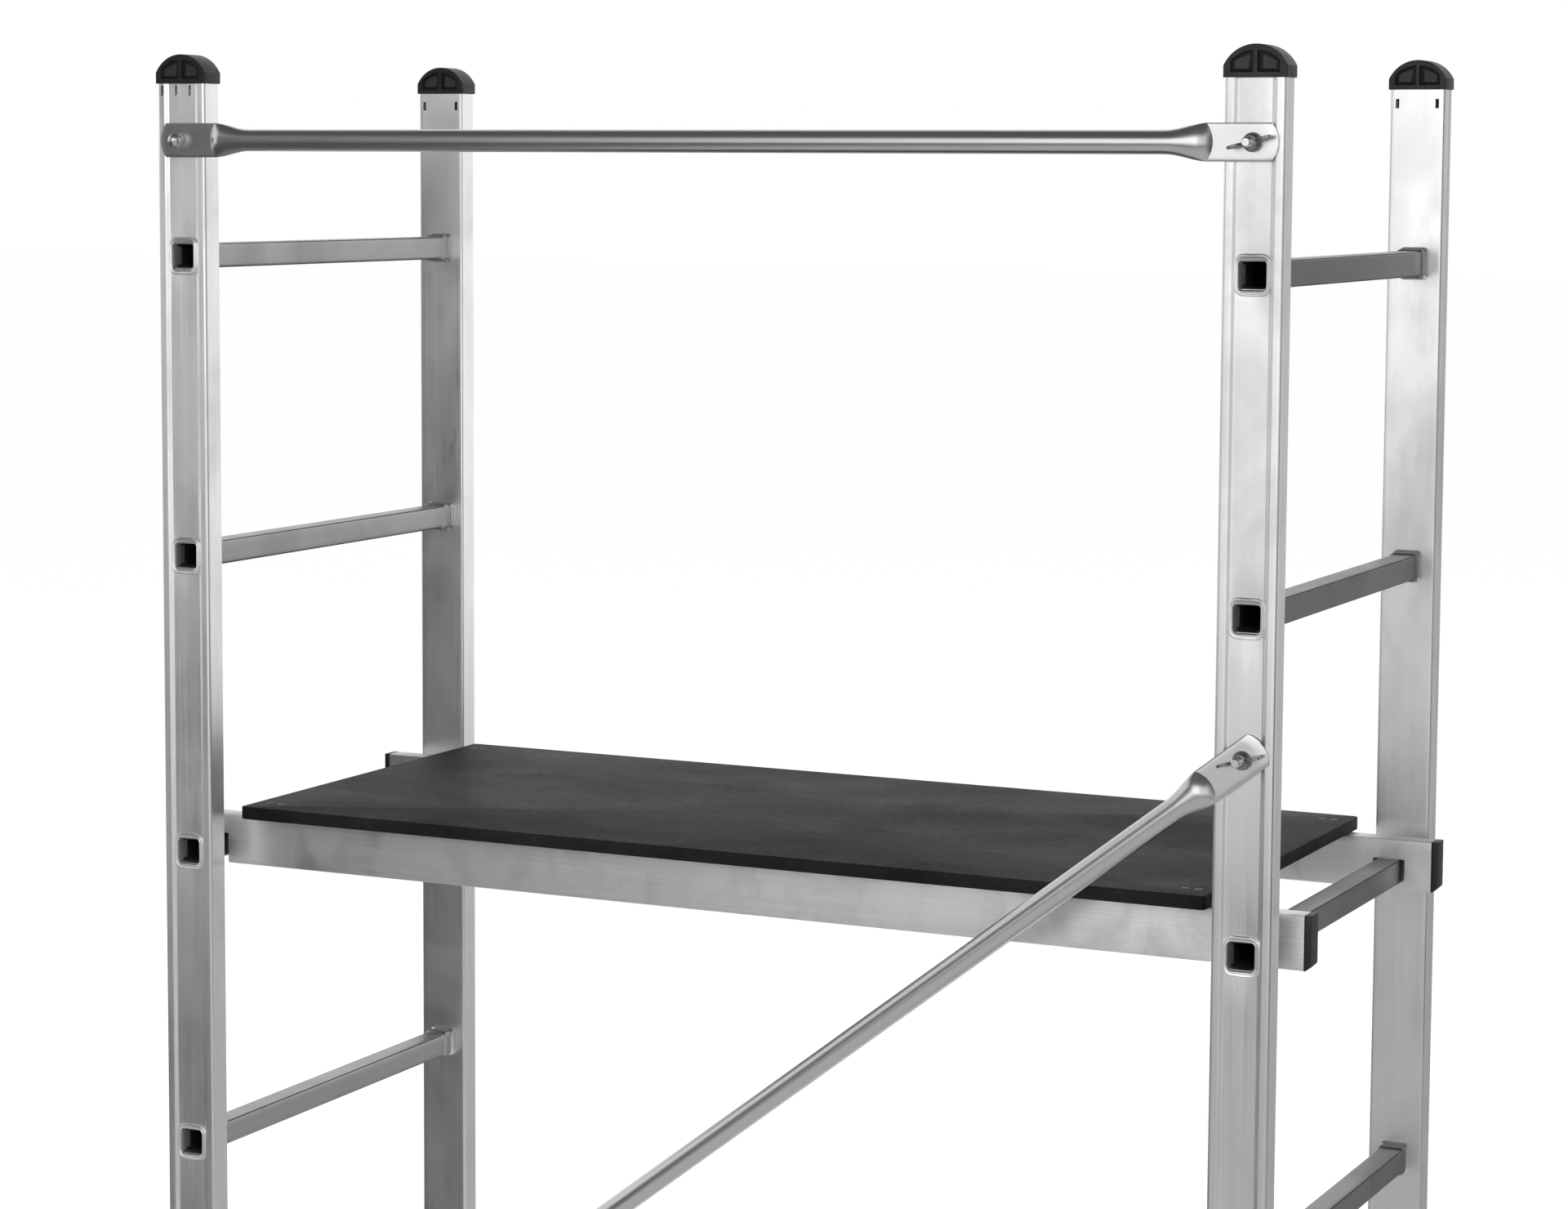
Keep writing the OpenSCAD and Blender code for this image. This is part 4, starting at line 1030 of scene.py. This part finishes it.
def fork_skins():
    """The pressed fork: a bridge bent like a U and two cheeks, with its race ring."""
    out, inside, top = FORK_OUTER, FORK_INNER, FORK_TOP
    bridge = np.concatenate([
        [(out, FORK_FOLD)], arc_points((out - 5, top - 5), 5, 0, 90, 7),
        arc_points((5 - out, top - 5), 5, 90, 180, 7), [(-out, FORK_FOLD), (-inside, FORK_FOLD)],
        arc_points((2 - inside, top - 6), 2, 180, 90, 5), arc_points((inside - 2, top - 6), 2, 90, 0, 5),
        [(inside, FORK_FOLD)]])
    skins = laid([slab(bridge, FORK_BACK, FORK_FRONT, 0.6)], ALONG_Y)
    for low, high in ((-out, -inside), (inside, out)):
        skins += laid([slab(cheek_outline(), low, high, 0.6)], ALONG_X)
    ring = [(7, 138.2), (22.0, 138.2), (22.9, 139.0), (22.9, 140.6), (21.6, 142.0), (19.5, 142.2), (7, 142.2)]
    return skins + [hoop(turned(ring, 56))]


def wheel_profiles():
    """Closed (radius, width) outlines of the hub and of the tyre with its rounded tread."""
    hub = both_sides([(4.1, -20), (11.5, -20), (12.6, -19.2), (13.4, -14), (15.5, -11.5), (17.5, -6),
                      (20, -4.2), (40, -3.4), (43.5, -5.5), (45.0, -13.5), (46.0, -15.6), (47.4, -16),
                      (50.2, -16), (50.45, -15.6)])
    shoulder = [(57.5 + 5.0 * math.sin(b), 10.2 + 5.8 * math.cos(b)) for b in np.linspace(0, np.pi / 2, 7)]
    groove = [(WHEEL_R, 5.4), (WHEEL_R - 0.9, 5.0), (WHEEL_R - 0.9, 4.2), (WHEEL_R, 3.8)]
    tyre = both_sides([(50.5, 15.0), (51.5, 16.0), (56.5, 16.0), *shoulder, *groove])
    return hub, tyre


def hub_ribs():
    """Six ribs on each side of the hub's web, from boss to rim."""
    rib = [slab([(14, 3), (46, 3), (46, 13.0), (30, 9.5), (14, 12.5)], -1.4, 1.4, 0.5)]
    turns = [(math.cos(turn), math.sin(turn)) for turn in np.arange(6) * math.pi / 3]
    return [skin for c, s in turns for side in (-1, 1)
            for skin in laid(rib, [(c, s, 0), (0, 0, side), (-s, c, 0)])]


def lever_skins():
    """The brake lever about its pivot: a plate bent over the tyre, grip ridges on its toe and its pin."""
    axle = (CASTOR_TRAIL - PIVOT[0], WHEEL_R - PIVOT[1])
    over_tyre, eye = arc_points(axle, WHEEL_R + 0.5, 41, 57, 8), arc_points((0, 0), 6.5, 175, 70, 8)
    outline = np.concatenate([[(42, 2), (46.5, -1.5), (44, -5), (14, -4.2)], over_tyre, eye])
    ridges = [slab(arc_points((toe, 5.5 - 0.105 * (toe - 2)), 1.3, 0, 330, 12), -15, 15, 0.5)
              for toe in 24 + 4.2 * np.arange(5)]
    pin = both_sides([(0.01, -25.2), (2.6, -25.2), (3.0, -24.8)])
    return [slab(outline, -18, 18, 1.0), *ridges, loft(turned(pin, 24))]


def stem_skins():
    """A castor's stem with its race cup, keeper, washer and nut."""
    cup = [(6.2, 142.4), (19, 142.4), (22.2, 143), (23, 144.6), (23, 150), (22, 151.9), (6.2, 151.9)]
    stem = [(0.01, 131.7), (9.0, 131.7), (10.0, 132.6), (10.0, 137.0), (9.4, 137.7), (6.0, 137.7),
            (6.0, 137.6), (6.0, 206.0), (5.4, 206.9), (0.01, 206.9)]
    washer = [(6.2, 192.15), (11.7, 192.15), (12, 192.5), (12, 193.7), (11.7, 194.05), (6.2, 194.05)]
    return [hoop(turned(cup, 56)), loft(turned(stem, 40)), hoop(turned(washer, 40)),
            hex_block(19.0, 194.1, 204.1)]


def make_castors():
    """Stems, forks, wheels, axles and brake levers of the four castors."""
    wheel = (0, CASTOR_TRAIL, WHEEL_R)
    hub, tyre = (hoop(turned(profile, around)) for profile, around in zip(wheel_profiles(), (72, 96)))
    axle = [hex_block(BOLT_AF, -FORK_OUTER - 5.4, -FORK_OUTER - 0.1),
            hex_block(BOLT_AF, FORK_OUTER + 0.1, FORK_OUTER + 8.1),
            thread(BOLT_R, -FORK_OUTER - 1, FORK_OUTER + 10.9)]
    c, s = math.cos(BRAKE_TILT), math.sin(BRAKE_TILT)
    pieces = (  # piece, node, body, finish, skins
        ("fork_pressed_", "fork_", "castor_", "zinc", fork_skins()),
        ("hub_moulded_", "hub_", "wheel_", "hub", laid([hub] + hub_ribs(), ALONG_X, wheel)),
        ("tyre_moulded_", "tyre_", "wheel_", "tyre", laid([tyre], ALONG_X, wheel)),
        ("axle_bolt_", "axle_", "castor_", "zinc", laid(axle, ALONG_X, wheel)),
        ("brake_lever_", "brake_", "brake_", "pedal", laid(lever_skins(), [(0, c, s), (0, -s, c), (1, 0, 0)],
                                                          (0, *PIVOT))))
    stems = []
    for side, sx in SIDES.items():
        for face, sy in FACES.items():
            corner = ([(sy, 0, 0), (0, sy, 0), (0, 0, 1)], (sx * ladder_x, sy * CASTOR_Y, 0))
            tag = side + "_" + face
            for piece, node, body, finish, skins in pieces:
                build(piece + tag, laid(skins, *corner), finish, body + tag, node + tag)
            stems += laid(stem_skins(), *corner)
    build("castor_stems_turned", stems, "zinc", "frame", "castor_stems")


bpy.context.scene.view_settings.view_transform = "Standard"
make_camera()
make_studio()
dress_cad()
make_ladders()
make_rails()
make_platform()
make_beams()
make_castors()
